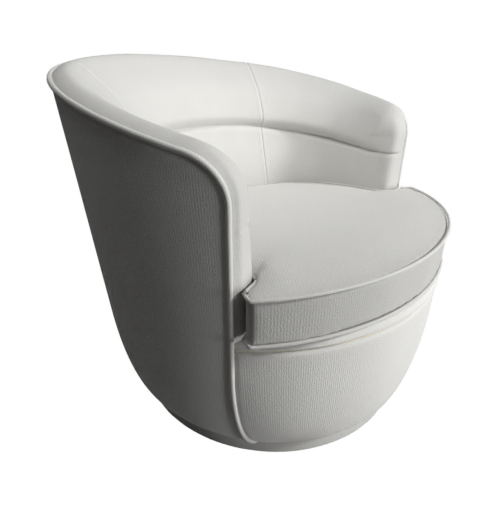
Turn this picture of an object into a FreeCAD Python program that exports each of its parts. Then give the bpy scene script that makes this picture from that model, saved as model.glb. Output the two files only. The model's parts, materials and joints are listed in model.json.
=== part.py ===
import FreeCAD, Part
import math
import os

# Swivel barrel chair, in millimetres. The front is -Y and up is +Z.
# The parts are drawn round the swivel axis at floor level; at the end they all move
# forward together, so that the origin is the middle of the whole chair's box.

Vector = FreeCAD.Vector

doc = FreeCAD.newDocument("swivel_barrel_chair")
sheet = doc.addObject("Spreadsheet::Sheet", "sizes")

SIZES = [
    # outside of the barrel, an ellipse at each height
    ("low_height", 300.0),
    ("low_half_width", 394.7),
    ("low_half_depth", 354.5),
    ("low_centre_y", -7.8),
    ("high_height", 700.0),
    ("high_half_width", 406.5),
    ("high_half_depth", 388.9),
    ("high_centre_y", 23.2),
    ("bowl_height", 261.0),
    ("bowl_fullness", 0.985),
    ("hem_height", 46.0),
    ("hem_radius", 320.0),
    ("hem_centre_y", -8.4),
    # rim line seen from the side, and the front of the arms
    ("arm_front_y", -166.0),
    ("rim_front_height", 592.0),
    ("rim_middle_y", 128.5),
    ("rim_middle_rise", 9.72),
    ("rim_back_y", 411.0),
    ("rim_back_height", 715.0),
    ("arm_corner_radius", 70.0),
    # inside of the arms and back, at seat height, with its lean
    ("seat_level", 385.0),
    ("inside_half_width", 302.0),
    ("inside_back", 226.0),
    ("inside_front", 352.0),
    ("inside_centre_y", -20.0),
    ("side_lean", 0.117),
    ("back_lean", 0.311),
    ("arm_inner_corner", 28.0),
    # padded roll round the top
    ("roll_seam_height", 518.0),
    ("roll_seam_slope", 0.163),
    ("roll_crown", 9.0),
    ("roll_crown_inset", 34.0),
    ("roll_shoulder_inset", 74.0),
    ("roll_shoulder_drop", 15.0),
    ("roll_overhang_back", 6.0),
    ("roll_overhang_arm", 22.0),
    ("roll_belly_rise", 30.0),
    ("roll_over_rail", 22.0),
    # layers
    ("fabric_thickness", 2.5),
    ("wadding_thickness", 5.2),
    ("panel_thickness", 3.0),
    ("frame_depth", 38.0),
    ("board_thickness", 18.0),
    ("layer_gap", 0.3),
    ("welt_radius", 4.5),
    # seat deck and front rail
    ("deck_front_height", 326.0),
    ("deck_front_y", -330.0),
    ("deck_slope", 0.05),
    ("deck_pad_thickness", 21.5),
    ("front_seam_height", 307.7),
    ("front_rail_bottom", 235.0),
    ("hoop_depth", 44.0),
    ("arm_post_height", 515.0),
    ("spring_wire", 4.0),
    ("spring_sweep", 22.0),
    ("spring_pitch", 25.0),
    ("spring_spacing", 90.0),
    ("clip_length", 26.0),
    ("clip_width", 16.0),
    # plinth and swivel
    ("plinth_radius", 316.0),
    ("plinth_wall", 26.0),
    ("plinth_board_thickness", 15.0),
    ("plinth_top", 43.0),
    ("plinth_hem_height", 1.5),
    ("plinth_lap", 20.0),
    ("glide_height", 4.0),
    ("glide_radius", 12.0),
    ("glide_circle_radius", 298.0),
    ("glide_count", 6),
    ("plate_side", 300.0),
    ("plate_thickness", 3.0),
    ("plate_corner_radius", 20.0),
    ("race_radius", 110.0),
    ("race_width", 26.0),
    ("ball_radius", 4.0),
    ("ball_clearance", 0.1),
    ("ball_count", 16),
    ("race_rise", 3.0),
    ("cage_thickness", 1.2),
    ("cage_width", 20.0),
    ("rivet_radius", 8.0),
    ("rivet_head_radius", 13.0),
    ("rivet_head_thickness", 3.0),
    ("rivet_clearance", 0.05),
    ("access_hole_radius", 60.0),
    ("plate_bolt_spacing", 240.0),
    ("bolt_radius", 4.0),
    ("bolt_head_radius", 7.5),
    ("bolt_head_height", 4.0),
    ("screw_radius", 2.5),
    ("screw_head_radius", 5.5),
    ("screw_head_height", 3.0),
    ("screw_length", 16.0),
    ("tee_nut_radius", 11.0),
    ("tee_nut_thickness", 2.0),
    ("bottom_board_thickness", 18.0),
    ("hem_hoop_width", 50.0),
    ("dust_cloth_thickness", 1.0),
    # loose seat cushion
    ("cushion_half_width", 438.0),
    ("cushion_half_depth", 392.0),
    ("cushion_centre_y", 32.0),
    ("wing_half_width", 352.0),
    ("wing_notch_gap", 10.5),
    ("tongue_half_width", 265.0),
    ("tongue_gap", 10.0),
    ("tongue_squareness", 0.8),
    ("boxing_height", 78.0),
    ("boxing_draw_in", 5.0),
    ("cushion_welt_height", 12.4),
    ("cushion_crown", 20.0),
    ("cushion_fabric", 1.6),
    ("cushion_welt_radius", 3.5),
    ("cushion_welt_clearance", 1.3),
    ("cushion_welt_step", 30.0),
    ("cushion_core_gap", 1.2),
    ("zip_half_length", 190.0),
    ("zip_width", 12.0),
    ("zip_thickness", 1.2),
    ("zip_panel_front_y", 60.0),
    # from the swivel axis back to the middle of the chair's box
    ("origin_behind_axis", 25.55),
]
for row, (alias, value) in enumerate(SIZES, start=1):
    sheet.set("A%d" % row, alias)
    sheet.set("B%d" % row, str(value))
    sheet.setAlias("B%d" % row, alias)
doc.recompute()


def size(alias):
    """A driving dimension, read from the sheet."""
    return float(sheet.get(alias))


TOP = size("rim_back_height") + 60.0
REACH = 900.0
RING_POINTS = 24
GAP = size("layer_gap")
ARM_Y = size("arm_front_y")
CLOTH = size("fabric_thickness")
WADDING_AT = CLOTH + GAP
PANEL_AT = WADDING_AT + size("wadding_thickness") + GAP
FRAME_AT = PANEL_AT + size("panel_thickness") + GAP
FRAME_IN = FRAME_AT + size("frame_depth")
PAD_AT = FRAME_IN + GAP
WELT_CUT = size("welt_radius") + GAP
ROLL_START = WELT_CUT + 4 * GAP
BOARD = size("board_thickness")
SLOPE = size("deck_slope")


BOWL_SHARES = (0.0, 0.03, 0.08, 0.15, 0.24, 0.36, 0.51, 0.72, 1.0)
BOWL_DEPTH = size("bowl_height") - size("hem_height")
BOWL_MARKS = [size("hem_height") + share * BOWL_DEPTH for share in BOWL_SHARES]


def curved_level(height):
    """Half width, half depth and centre of the barrel's outside, with its bowl as a true arc."""
    run = size("high_height") - size("low_height")
    part = (height - size("low_height")) / run
    hem_part = (size("hem_height") - size("low_height")) / run
    full = size("bowl_fullness")
    down = min(max(0.0, (size("bowl_height") - height) / BOWL_DEPTH), 1.0)
    turn = (1 - math.sqrt(1 - (full * down) ** 2)) / (1 - math.sqrt(1 - full ** 2))
    values = []
    for name, hem in (("half_width", "hem_radius"), ("half_depth", "hem_radius"), ("centre_y", "hem_centre_y")):
        low = size("low_" + name)
        rate = size("high_" + name) - low
        at_hem = low + rate * hem_part
        values.append(low + rate * part - (at_hem - size(hem)) * turn)
    return values


def barrel_level(height):
    """The same, straight from mark to mark in the bowl, so that all layers nest exactly."""
    for low, high in zip(BOWL_MARKS, BOWL_MARKS[1:]):
        if low <= height <= high:
            share = (height - low) / (high - low)
            ends = zip(curved_level(low), curved_level(high))
            return [first + share * (last - first) for first, last in ends]
    return curved_level(height)


def closed_curve(points):
    curve = Part.BSplineCurve()
    curve.interpolate(Points=points, PeriodicFlag=True)
    return Part.Wire([curve.toShape()])


def open_curve(points):
    curve = Part.BSplineCurve()
    curve.interpolate(Points=points)
    return curve.toShape()


def barrel_wire(inset, height):
    """The closed level curve of the barrel's outside at one height, moved in by inset."""
    half_width, half_depth, centre_y = barrel_level(height)
    points = []
    for step in range(RING_POINTS):
        turn = 2 * math.pi * step / RING_POINTS
        across = (half_width - inset) * math.sin(turn)
        along = centre_y + (half_depth - inset) * math.cos(turn)
        points.append(Vector(across, along, height))
    return closed_curve(points)


def barrel_heights(low, high):
    """The levels that shape the barrel between two heights, close together in the bowl."""
    return [low] + [mark for mark in BOWL_MARKS if low + GAP < mark < high - GAP] + [high]


def drum(inset, low, high):
    """The barrel as one solid between two heights, its outside moved in by inset."""
    wires = [barrel_wire(inset, height) for height in barrel_heights(low, high)]
    return Part.makeLoft(wires, True, True)


def layer(outer_inset, inner_inset, low, high):
    """A wall of the barrel between two insets, open at the top and the bottom."""
    past = 8.0
    heights = [low - past] + barrel_heights(low, high) + [high + past]
    core = Part.makeLoft([barrel_wire(inner_inset, height) for height in heights], True, True)
    return drum(outer_inset, low, high).cut(core)


def side_face(points_and_arcs):
    """A face in the YZ plane from (y, z) points; three points make an arc."""
    edges = []
    for item in points_and_arcs:
        ends = [Vector(-REACH, y, z) for y, z in item]
        if len(ends) == 3:
            edges.append(Part.Arc(*ends).toShape())
        else:
            edges.append(Part.LineSegment(*ends).toShape())
    return Part.Face(Part.Wire(edges))


def rim_middle_height():
    """Height of the rim at its middle point: a rise above the line from front to back."""
    share = (size("rim_middle_y") - ARM_Y) / (size("rim_back_y") - ARM_Y)
    front = size("rim_front_height")
    return front + share * (size("rim_back_height") - front) + size("rim_middle_rise")


def rim_circle():
    """Centre and radius of the large arc that the rim follows, seen from the side."""
    y1, z1 = ARM_Y, size("rim_front_height")
    y2, z2 = size("rim_middle_y"), rim_middle_height()
    y3, z3 = size("rim_back_y"), size("rim_back_height")
    d = 2 * (y1 * (z2 - z3) + y2 * (z3 - z1) + y3 * (z1 - z2))
    s1, s2, s3 = y1 ** 2 + z1 ** 2, y2 ** 2 + z2 ** 2, y3 ** 2 + z3 ** 2
    centre_y = (s1 * (z2 - z3) + s2 * (z3 - z1) + s3 * (z1 - z2)) / d
    centre_z = (s1 * (y3 - y2) + s2 * (y1 - y3) + s3 * (y2 - y1)) / d
    return centre_y, centre_z, math.hypot(y1 - centre_y, z1 - centre_z)


RIM_Y, RIM_Z, RIM_R = rim_circle()


def rim_height(y):
    return RIM_Z + math.sqrt(RIM_R ** 2 - (y - RIM_Y) ** 2)


def corner_centre(corner_radius, front_in, top_in):
    y = ARM_Y + front_in + corner_radius
    reach = RIM_R - top_in - corner_radius
    return y, RIM_Z + math.sqrt(reach ** 2 - (y - RIM_Y) ** 2)


def side_prism(front_in, top_in, corner_radius):
    """Everything behind the arm fronts and under the rim, moved in by the two amounts."""
    corner_y, corner_z = corner_centre(corner_radius, front_in, top_in)
    front = ARM_Y + front_in
    rim = RIM_R - top_in
    away = math.hypot(corner_y - RIM_Y, corner_z - RIM_Z)
    touch = (RIM_Y + rim * (corner_y - RIM_Y) / away, RIM_Z + rim * (corner_z - RIM_Z) / away)
    start = math.atan2(touch[1] - corner_z, touch[0] - corner_y)
    middle = 0.5 * (start + math.pi)
    on_corner = (corner_y + corner_radius * math.cos(middle), corner_z + corner_radius * math.sin(middle))
    back_y = size("rim_back_y") + 60.0

    def on_rim(y):
        return (y, RIM_Z + math.sqrt(rim ** 2 - (y - RIM_Y) ** 2))

    floor_z = -60.0
    half_way = 0.5 * (touch[0] + back_y)
    outline = [
        ((front, floor_z), (front, corner_z)),
        ((front, corner_z), on_corner, touch),
        (touch, on_rim(half_way), on_rim(back_y)),
        (on_rim(back_y), (back_y, floor_z)),
        ((back_y, floor_z), (front, floor_z)),
    ]
    return side_face(outline).extrude(Vector(2 * REACH, 0, 0))


def rim_prism(moved_in):
    return side_prism(moved_in, moved_in, size("arm_corner_radius") - moved_in)


def tilted_slab(bottom, top, slope, y_low=-REACH, y_high=REACH):
    """The space between two parallel planes; bottom and top are heights at y = 0."""
    outline = [
        ((y_low, bottom + slope * y_low), (y_high, bottom + slope * y_high)),
        ((y_high, bottom + slope * y_high), (y_high, top + slope * y_high)),
        ((y_high, top + slope * y_high), (y_low, top + slope * y_low)),
        ((y_low, top + slope * y_low), (y_low, bottom + slope * y_low)),
    ]
    return side_face(outline).extrude(Vector(2 * REACH, 0, 0))


DECK = size("deck_front_height") + SLOPE * size("deck_front_y")
FLOOR_LOW = -200.0


def under_deck(drop, low=FLOOR_LOW):
    """The space below the seat deck's top face, less drop, and above a level height."""
    y_front, y_back = -REACH, REACH
    top = DECK - drop
    outline = [
        ((y_front, low), (y_back, low)),
        ((y_back, low), (y_back, top - SLOPE * y_back)),
        ((y_back, top - SLOPE * y_back), (y_front, top - SLOPE * y_front)),
        ((y_front, top - SLOPE * y_front), (y_front, low)),
    ]
    return side_face(outline).extrude(Vector(2 * REACH, 0, 0))


def deck_slab(low_drop, high_drop, y_low=-REACH, y_high=REACH):
    return tilted_slab(DECK - low_drop, DECK - high_drop, -SLOPE, y_low, y_high)


def inside_level(height):
    """Half width and back depth of the space between the arms at one height."""
    up = height - size("seat_level")
    half_width = size("inside_half_width") + size("side_lean") * up
    back = size("inside_back") + size("back_lean") * up
    return half_width, back


def inside_point(turn, height, grown):
    """A point on the arms' and back's inner face; turn 0 is the middle of the back."""
    half_width, back = inside_level(height)
    depth = back + grown if math.cos(turn) > 0 else size("inside_front")
    across = (half_width + grown) * math.sin(turn)
    return Vector(across, size("inside_centre_y") + depth * math.cos(turn), height)


def inside_turn(y):
    """The turn at which the inner face reaches y, in front of its centre."""
    return math.acos((y - size("inside_centre_y")) / size("inside_front"))


def inside_space(grown):
    """The space between the arms and in front of them, with round inner corners."""
    corner = size("arm_inner_corner")
    start_y = ARM_Y + corner
    last_turn = inside_turn(start_y)
    front = ARM_Y + grown
    wires = []
    for height in (size("deck_front_height") - 80.0, rim_middle_height()):
        steps = 16
        points = [inside_point(last_turn * (2.0 * k / steps - 1), height, grown) for k in range(steps + 1)]
        right = points[0]
        left = points[-1]
        bend = corner - grown
        centre = left.x + bend
        half = math.sqrt(0.5) * bend
        edges = [open_curve(points)]
        edges.append(Part.Arc(left, Vector(centre - half, start_y - half, height), Vector(centre, front, height)).toShape())
        corners = [Vector(centre, front, height), Vector(REACH, front, height), Vector(REACH, -REACH, height)]
        corners += [Vector(-REACH, -REACH, height), Vector(-REACH, front, height), Vector(-centre, front, height)]
        for first, second in zip(corners, corners[1:]):
            edges.append(Part.LineSegment(first, second).toShape())
        edges.append(Part.Arc(corners[-1], Vector(half - centre, start_y - half, height), right).toShape())
        wires.append(Part.Wire(edges))
    return Part.makeLoft(wires, True, True)


def seam_height(y):
    return size("roll_seam_height") + size("roll_seam_slope") * y


def roll_station(share, moved_in, outer_at, seam_drop):
    """One section of the padded roll; share runs from -1 to 1 round the back."""
    rim_z = size("rim_front_height")
    half_width, half_depth, centre_y = barrel_level(rim_z)
    outer_turn = share * math.acos((ARM_Y - centre_y) / half_depth)
    inner_turn = share * inside_turn(ARM_Y)
    for repeat in range(8):
        half_width, half_depth, centre_y = barrel_level(rim_z)
        outer = Vector(half_width * math.sin(outer_turn), centre_y + half_depth * math.cos(outer_turn), 0)
        rim_z = rim_height(outer.y)
    seam_z = size("roll_seam_height")
    for repeat in range(8):
        inner = inside_point(inner_turn, seam_z, 0.0)
        seam_z = seam_height(inner.y)
    inner = Vector(inner.x, inner.y, 0)
    way = inner - outer
    length = way.Length
    way.normalize()
    arm = min(abs(share) / 0.7, 1.0)
    overhang = size("roll_overhang_back") + (size("roll_overhang_arm") - size("roll_overhang_back")) * arm ** 2
    belly_z = seam_z + size("roll_belly_rise")
    shoulder = size("roll_shoulder_inset")
    shoulder_z = rim_z - size("roll_shoulder_drop")
    # along the way in, and up: welt, crown, shoulder, face, belly, seam
    profile = [
        (ROLL_START, rim_z + 2.0),
        (size("roll_crown_inset"), rim_z + size("roll_crown")),
        (shoulder, shoulder_z),
        (shoulder + 0.62 * (length + overhang - shoulder), shoulder_z - 0.46 * (shoulder_z - belly_z)),
        (length + overhang, belly_z),
        (length + 0.5 * overhang, seam_z + 0.2 * size("roll_belly_rise")),
        (length, seam_z),
    ]
    moved = []
    for index, (inward, up) in enumerate(profile):
        before = profile[max(index - 1, 0)]
        after = profile[min(index + 1, len(profile) - 1)]
        run = math.hypot(after[0] - before[0], after[1] - before[1])
        moved.append((inward + moved_in * (after[1] - before[1]) / run, up - moved_in * (after[0] - before[0]) / run))
    moved[0] = (ROLL_START, profile[0][1] - moved_in)
    if outer_at < ROLL_START:
        moved.insert(0, (outer_at, moved[0][1] - 0.6 * (ROLL_START - outer_at)))
    points = [Vector(outer.x, outer.y, 0) + way * inward + Vector(0, 0, up) for inward, up in moved]

    def foot(point):
        return Vector(point.x, point.y, seam_height(point.y) - seam_drop)

    edges = [open_curve(points)]
    corners = [points[-1], foot(points[-1]), foot(points[0]), points[0]]
    for first, second in zip(corners, corners[1:]):
        if (second - first).Length > 0.001:
            edges.append(Part.LineSegment(first, second).toShape())
    return Part.Wire(edges)


def roll_solid(moved_in, outer_at, seam_drop):
    stations = 16
    last = 1.1
    shares = [last * (2.0 * k / stations - 1) for k in range(stations + 1)]
    wires = [roll_station(share, moved_in, outer_at, seam_drop) for share in shares]
    loft = Part.makeLoft(wires, True, False, False, 3)
    corner = size("arm_corner_radius") + size("roll_crown")
    over_crown = -size("roll_crown") - 6.0 + moved_in
    return loft.common(side_prism(moved_in, over_crown, corner - moved_in))


def box(low, high):
    return Part.makeBox(high[0] - low[0], high[1] - low[1], high[2] - low[2], Vector(*low))


def level_slab(low, high, y_low=-REACH, y_high=REACH):
    return box((-REACH, y_low, low), (REACH, y_high, high))


pieces = {}


def keep(name, shape):
    """Stores a finished shape as a named sub-part."""
    piece = doc.addObject("Part::Feature", name)
    piece.Label = name
    solids = shape.Solids
    piece.Shape = solids[0] if len(solids) == 1 else Part.makeCompound(solids)
    piece.Placement = FreeCAD.Placement()
    pieces[name] = piece
    return piece


def keep_object(piece, name):
    piece.Label = name
    pieces[name] = piece
    return piece


def cylinder(name, radius, height, base):
    """A Part::Cylinder on the swivel axis, its sizes bound to the sheet."""
    piece = doc.addObject("Part::Cylinder", name)
    piece.setExpression("Radius", radius)
    piece.setExpression("Height", height)
    piece.setExpression("Placement.Base.z", base)
    return piece


def cut(name, base, tool):
    piece = doc.addObject("Part::Cut", name)
    piece.Base = base
    piece.Tool = tool
    return piece


# Plinth: a plywood ring on glides, a top board and a fabric band.

def corner_offsets(spacing):
    half = 0.5 * spacing
    return [(-half, -half), (half, -half), (half, half), (-half, half)]


def round_row(name, label, radius, height, base, circle, count):
    """Equal cylinders spaced round the swivel axis."""
    members = []
    for index in range(int(size(count))):
        member = cylinder("%s_%d" % (name, index + 1), radius, height, base)
        angle = "360 deg * %d / sizes.%s" % (index, count)
        member.setExpression("Placement.Base.x", "sizes.%s * cos(%s)" % (circle, angle))
        member.setExpression("Placement.Base.y", "sizes.%s * sin(%s)" % (circle, angle))
        members.append(member)
    group = doc.addObject("Part::Compound", name)
    group.Links = members
    return keep_object(group, label)


round_row("glide", "floor_glides", "sizes.glide_radius", "sizes.glide_height", "0", "glide_circle_radius", "glide_count")

ring_outer = cylinder(
    "plinth_ring_outer",
    "sizes.plinth_radius - sizes.fabric_thickness - sizes.layer_gap",
    "sizes.plinth_top - sizes.plinth_board_thickness - sizes.glide_height",
    "sizes.glide_height",
)
ring_inner = cylinder(
    "plinth_ring_inner",
    "sizes.plinth_radius - sizes.fabric_thickness - sizes.layer_gap - sizes.plinth_wall",
    "sizes.plinth_top",
    "0",
)
keep_object(cut("plinth_ring", ring_outer, ring_inner), "plinth_ring")

board_blank = cylinder(
    "plinth_board_blank",
    "sizes.plinth_radius - sizes.fabric_thickness - sizes.layer_gap",
    "sizes.plinth_board_thickness",
    "sizes.plinth_top - sizes.plinth_board_thickness",
)
board_hole = cylinder("plinth_board_hole", "sizes.access_hole_radius", "sizes.plinth_top", "sizes.glide_height")
keep_object(cut("plinth_top_board", board_blank, board_hole), "plinth_top_board")


def plinth_cover():
    outer = size("plinth_radius")
    top = size("plinth_top") + GAP + CLOTH
    low = size("plinth_hem_height")
    lap = outer - size("plinth_lap")
    under = outer - CLOTH - GAP
    block = Part.makeCylinder(outer, top - low, Vector(0, 0, low))
    rounded = block.makeFillet(2.0, [edge for edge in block.Edges if len(edge.Vertexes) == 1])
    inside = Part.makeCylinder(under + GAP, size("plinth_top") - low - CLOTH + 2 * GAP, Vector(0, 0, low + CLOTH - GAP))
    bore = Part.makeCylinder(lap, top, Vector(0, 0, 0))
    cover = rounded.cut(inside).cut(bore)
    for index in range(int(size("glide_count"))):
        turn = 2 * math.pi * index / size("glide_count")
        place = Vector(size("glide_circle_radius") * math.cos(turn), size("glide_circle_radius") * math.sin(turn), 0)
        cover = cover.cut(Part.makeCylinder(size("glide_radius") + GAP, size("glide_height") + GAP, place))
    return cover


keep("plinth_cover", plinth_cover())


# Swivel: two square plates with a ball race between them, held by a rivet.

RACE_LOW = size("plinth_top") + size("plate_thickness")
BALL_LEVEL = RACE_LOW + size("race_rise") + 0.5 * size("ball_radius")
UPPER_PLATE = 2 * BALL_LEVEL - RACE_LOW


def swivel_plate(name, bottom, race_from, bolt_radius, bore_radius, turned):
    """A pressed plate with round corners, a raised race, a bore and four fixing holes."""
    side = size("plate_side")
    thick = size("plate_thickness")
    plate = box((-0.5 * side, -0.5 * side, bottom), (0.5 * side, 0.5 * side, bottom + thick))
    upright = [edge for edge in plate.Edges if abs(edge.Vertexes[0].Z - edge.Vertexes[1].Z) > 0.5 * thick]
    plate = plate.makeFillet(size("plate_corner_radius"), upright)
    half = 0.5 * size("race_width")
    race = Part.makeCylinder(size("race_radius") + half, size("race_rise"), Vector(0, 0, race_from))
    race = race.cut(Part.makeCylinder(size("race_radius") - half, size("race_rise"), Vector(0, 0, race_from)))
    plate = plate.fuse(race)
    groove = Part.makeTorus(size("race_radius"), size("ball_radius") + size("ball_clearance"), Vector(0, 0, BALL_LEVEL))
    plate = plate.cut(groove)
    plate = plate.cut(Part.makeCylinder(bore_radius, 4 * thick, Vector(0, 0, bottom - thick)))
    for x, y in corner_offsets(size("plate_bolt_spacing")):
        plate = plate.cut(Part.makeCylinder(bolt_radius, 4 * thick, Vector(x, y, bottom - thick)))
    plate.rotate(Vector(0, 0, 0), Vector(0, 0, 1), turned)
    return keep(name, plate.removeSplitter())


QUARTER = 45.0
rivet_hole = size("rivet_radius") + size("rivet_clearance")
swivel_plate("lower_swivel_plate", size("plinth_top"), RACE_LOW, size("screw_radius") + GAP, size("rivet_radius"), QUARTER)
swivel_plate("upper_swivel_plate", UPPER_PLATE, UPPER_PLATE - size("race_rise"), size("bolt_radius") + GAP, rivet_hole, 0.0)


def headed(shank_radius, head_radius, head_height, shank_length, place, upward):
    """A round head with a shank; the head's bearing face lies at the given place."""
    way = 1 if upward else -1
    head = Part.makeCylinder(head_radius, head_height, place, Vector(0, 0, -way))
    shank = Part.makeCylinder(shank_radius, shank_length, place, Vector(0, 0, way))
    return head.fuse(shank).removeSplitter()


def turned_place(x, y, height, degrees):
    angle = math.radians(degrees)
    return Vector(x * math.cos(angle) - y * math.sin(angle), x * math.sin(angle) + y * math.cos(angle), height)


def lower_screws():
    solids = []
    top = RACE_LOW
    for x, y in corner_offsets(size("plate_bolt_spacing")):
        place = turned_place(x, y, top, QUARTER)
        head, length = size("screw_head_height"), size("screw_length")
        solids.append(headed(size("screw_radius"), size("screw_head_radius"), head, length, place, False))
    return solids


def drill(base, solids, clearance_radius, low, high):
    """Cuts a clearance hole for each fastener through a board."""
    for solid in solids:
        centre = solid.BoundBox.Center
        base = base.cut(Part.makeCylinder(clearance_radius, high - low, Vector(centre.x, centre.y, low)))
    return base


screws = lower_screws()
keep("lower_plate_screws", Part.makeCompound(screws))

pilot = doc.addObject("Part::Feature", "pilot_holes")
pilot_radius = size("screw_radius") + 0.02
pilot_solids = []
for screw in screws:
    centre = screw.BoundBox.Center
    low = size("plinth_top") - size("screw_length")
    pilot_solids.append(Part.makeCylinder(pilot_radius, size("screw_length") + 1.0, Vector(centre.x, centre.y, low)))
pilot.Shape = Part.makeCompound(pilot_solids)
drilled = cut("plinth_top_board_drilled", pieces["plinth_top_board"], pilot)
pieces["plinth_top_board"].Label = "plinth_board_blank_cut"
keep_object(drilled, "plinth_top_board")


def swivel_rivet():
    """A shouldered rivet: flange under the lower plate, shank, and head over the upper plate."""
    top = UPPER_PLATE + size("plate_thickness") + GAP
    low = size("plinth_top")
    thick = size("rivet_head_thickness")
    shank = Part.makeCylinder(size("rivet_radius"), top - low + thick, Vector(0, 0, low))
    head = Part.makeCylinder(size("rivet_head_radius"), thick, Vector(0, 0, top))
    flange = Part.makeCylinder(size("rivet_head_radius"), thick, Vector(0, 0, low - thick))
    return shank.fuse(head).fuse(flange).removeSplitter()


keep("swivel_rivet", swivel_rivet())


def ball_places():
    count = int(size("ball_count"))
    ring = size("race_radius")
    angles = [2 * math.pi * k / count for k in range(count)]
    return [Vector(ring * math.cos(angle), ring * math.sin(angle), BALL_LEVEL) for angle in angles]


keep("bearing_balls", Part.makeCompound([Part.makeSphere(size("ball_radius"), place) for place in ball_places()]))


def ball_cage():
    thick = size("cage_thickness")
    low = BALL_LEVEL - 0.5 * thick
    half = 0.5 * size("cage_width")
    cage = Part.makeCylinder(size("race_radius") + half, thick, Vector(0, 0, low))
    cage = cage.cut(Part.makeCylinder(size("race_radius") - half, thick, Vector(0, 0, low)))
    for place in ball_places():
        pocket = Vector(place.x, place.y, low)
        cage = cage.cut(Part.makeCylinder(size("ball_radius") + GAP, thick, pocket))
    return cage


keep("ball_cage", ball_cage())


# Seat frame: bottom board, hoops, posts and rails of plywood.

BOARD_LOW = UPPER_PLATE + size("plate_thickness")
BOARD_TOP = BOARD_LOW + size("bottom_board_thickness")
bolt_shank = size("bottom_board_thickness") + size("plate_thickness") + size("tee_nut_thickness")


def upper_bolts():
    solids = []
    for x, y in corner_offsets(size("plate_bolt_spacing")):
        place = Vector(x, y, UPPER_PLATE)
        head = size("bolt_head_height")
        solids.append(headed(size("bolt_radius"), size("bolt_head_radius"), head, bolt_shank, place, True))
    return solids


bolts = upper_bolts()
keep("upper_plate_bolts", Part.makeCompound(bolts))


def tee_nuts():
    solids = []
    thick = size("tee_nut_thickness")
    for bolt in bolts:
        centre = bolt.BoundBox.Center
        low = Vector(centre.x, centre.y, BOARD_TOP)
        nut = Part.makeCylinder(size("tee_nut_radius"), thick, low)
        solids.append(nut.cut(Part.makeCylinder(size("bolt_radius") + 0.05, thick, low)))
    return Part.makeCompound(solids)


keep("upper_plate_nuts", tee_nuts())

bottom_board = drum(FRAME_AT, BOARD_LOW, BOARD_TOP)
bottom_board = bottom_board.cut(Part.makeCylinder(size("access_hole_radius"), BOARD_TOP, Vector(0, 0, 0)))
keep("bottom_board", drill(bottom_board, bolts, size("bolt_radius") + 0.05, BOARD_LOW, BOARD_TOP))

hem_hoop = drum(FRAME_AT, size("hem_height") + CLOTH + GAP, BOARD_LOW)
hoop_bore = Part.makeCylinder(size("hem_radius") - FRAME_AT - size("hem_hoop_width"), BOARD_TOP, Vector(0, 0, 0))
keep("hem_hoop", hem_hoop.cut(hoop_bore))

RAIL_IN = size("roll_over_rail")
under_rail = rim_prism(RAIL_IN)
under_posts = rim_prism(RAIL_IN + BOARD)
rail_band = under_rail.cut(under_posts)
POST_TOP = size("arm_post_height")
keep("top_rail", layer(FRAME_AT, FRAME_IN, POST_TOP, TOP).common(rail_band))

arm_posts = layer(FRAME_AT, FRAME_IN, BOARD_TOP, POST_TOP).common(rail_band)
for name, sign in (("left", 1), ("right", -1)):
    half_space = box((min(0, sign * REACH), -REACH, 0), (max(0, sign * REACH), ARM_Y + REACH, TOP))
    keep("arm_post_" + name, arm_posts.common(half_space))


def post_slab(turn):
    """A board's thickness of space standing along one direction from the axis."""
    slab = box((-0.5 * BOARD, 0, 0), (0.5 * BOARD, REACH, TOP))
    slab.rotate(Vector(0, 0, 0), Vector(0, 0, 1), -turn)
    return slab


back_posts = {
    "back_post_centre": 0,
    "back_post_left": 38,
    "back_post_right": -38,
    "side_post_left": 78,
    "side_post_right": -78,
}
post_room = layer(FRAME_AT, FRAME_IN, BOARD_TOP, TOP).common(under_posts)
for name, turn in back_posts.items():
    keep(name, post_room.common(post_slab(turn)))

front_ribs = {"front_rib_centre": 180, "front_rib_left": 146, "front_rib_right": -146}
RAIL_LOW = size("front_rail_bottom")
DECK_OVER = size("deck_front_height") + 30.0
rib_room = layer(FRAME_AT, FRAME_IN, BOARD_TOP, RAIL_LOW)
for name, turn in front_ribs.items():
    keep(name, rib_room.common(post_slab(turn)))

PAD_LOW = CLOTH + GAP + size("deck_pad_thickness")
rail_end = ARM_Y + RAIL_IN
front_rail = drum(FRAME_AT, RAIL_LOW, DECK_OVER).common(level_slab(0, TOP, -REACH, rail_end - GAP))
front_rail = front_rail.common(under_deck(PAD_LOW + GAP))
keep("front_rail", front_rail.cut(drum(FRAME_IN, FLOOR_LOW + RAIL_LOW, DECK_OVER + BOARD)))

HOOP_TOP = PAD_LOW + GAP + size("spring_wire") + GAP
HOOP_LOW = size("deck_front_height") - 120.0
seat_hoop = drum(PAD_AT, HOOP_LOW, DECK_OVER).common(deck_slab(HOOP_TOP + BOARD, HOOP_TOP))
keep("seat_hoop", seat_hoop.cut(drum(PAD_AT + size("hoop_depth"), HOOP_LOW - BOARD, DECK_OVER + BOARD)))


# Seat springs: sinuous wire from the front of the hoop to the back, in clips.

def spring_ends(x):
    """Front and back of a spring at x, on the middle of the seat hoop."""
    half_width, half_depth, centre_y = barrel_level(size("deck_front_height") - HOOP_TOP)
    inset = PAD_AT + 0.5 * size("hoop_depth")
    reach = (half_depth - inset) * math.sqrt(1 - (x / (half_width - inset)) ** 2)
    return centre_y - reach, centre_y + reach


def spring_outline(x):
    """A zigzag strip as wide as the wire, with straight ends that lie in the clips."""
    front, back = spring_ends(x)
    straight = 0.5 * size("clip_length") + 5 * GAP
    first = front + straight
    run = back - front - 2 * straight
    turns = 2 * int(round(run / size("spring_pitch") / 2))
    pitch = run / turns
    sweep = size("spring_sweep")
    half = 0.5 * size("spring_wire")
    mitre = half * math.hypot(2 * sweep, pitch) / pitch
    line = [(x, front, half), (x, first, half)]
    for k in range(1, turns):
        side = 1 if k % 2 else -1
        line.append((x + side * sweep, first + k * pitch, mitre))
    line += [(x, back - straight, half), (x, back, half)]
    left = [(px - width, py) for px, py, width in line]
    right = [(px + width, py) for px, py, width in line[::-1]]
    return left + right


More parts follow.
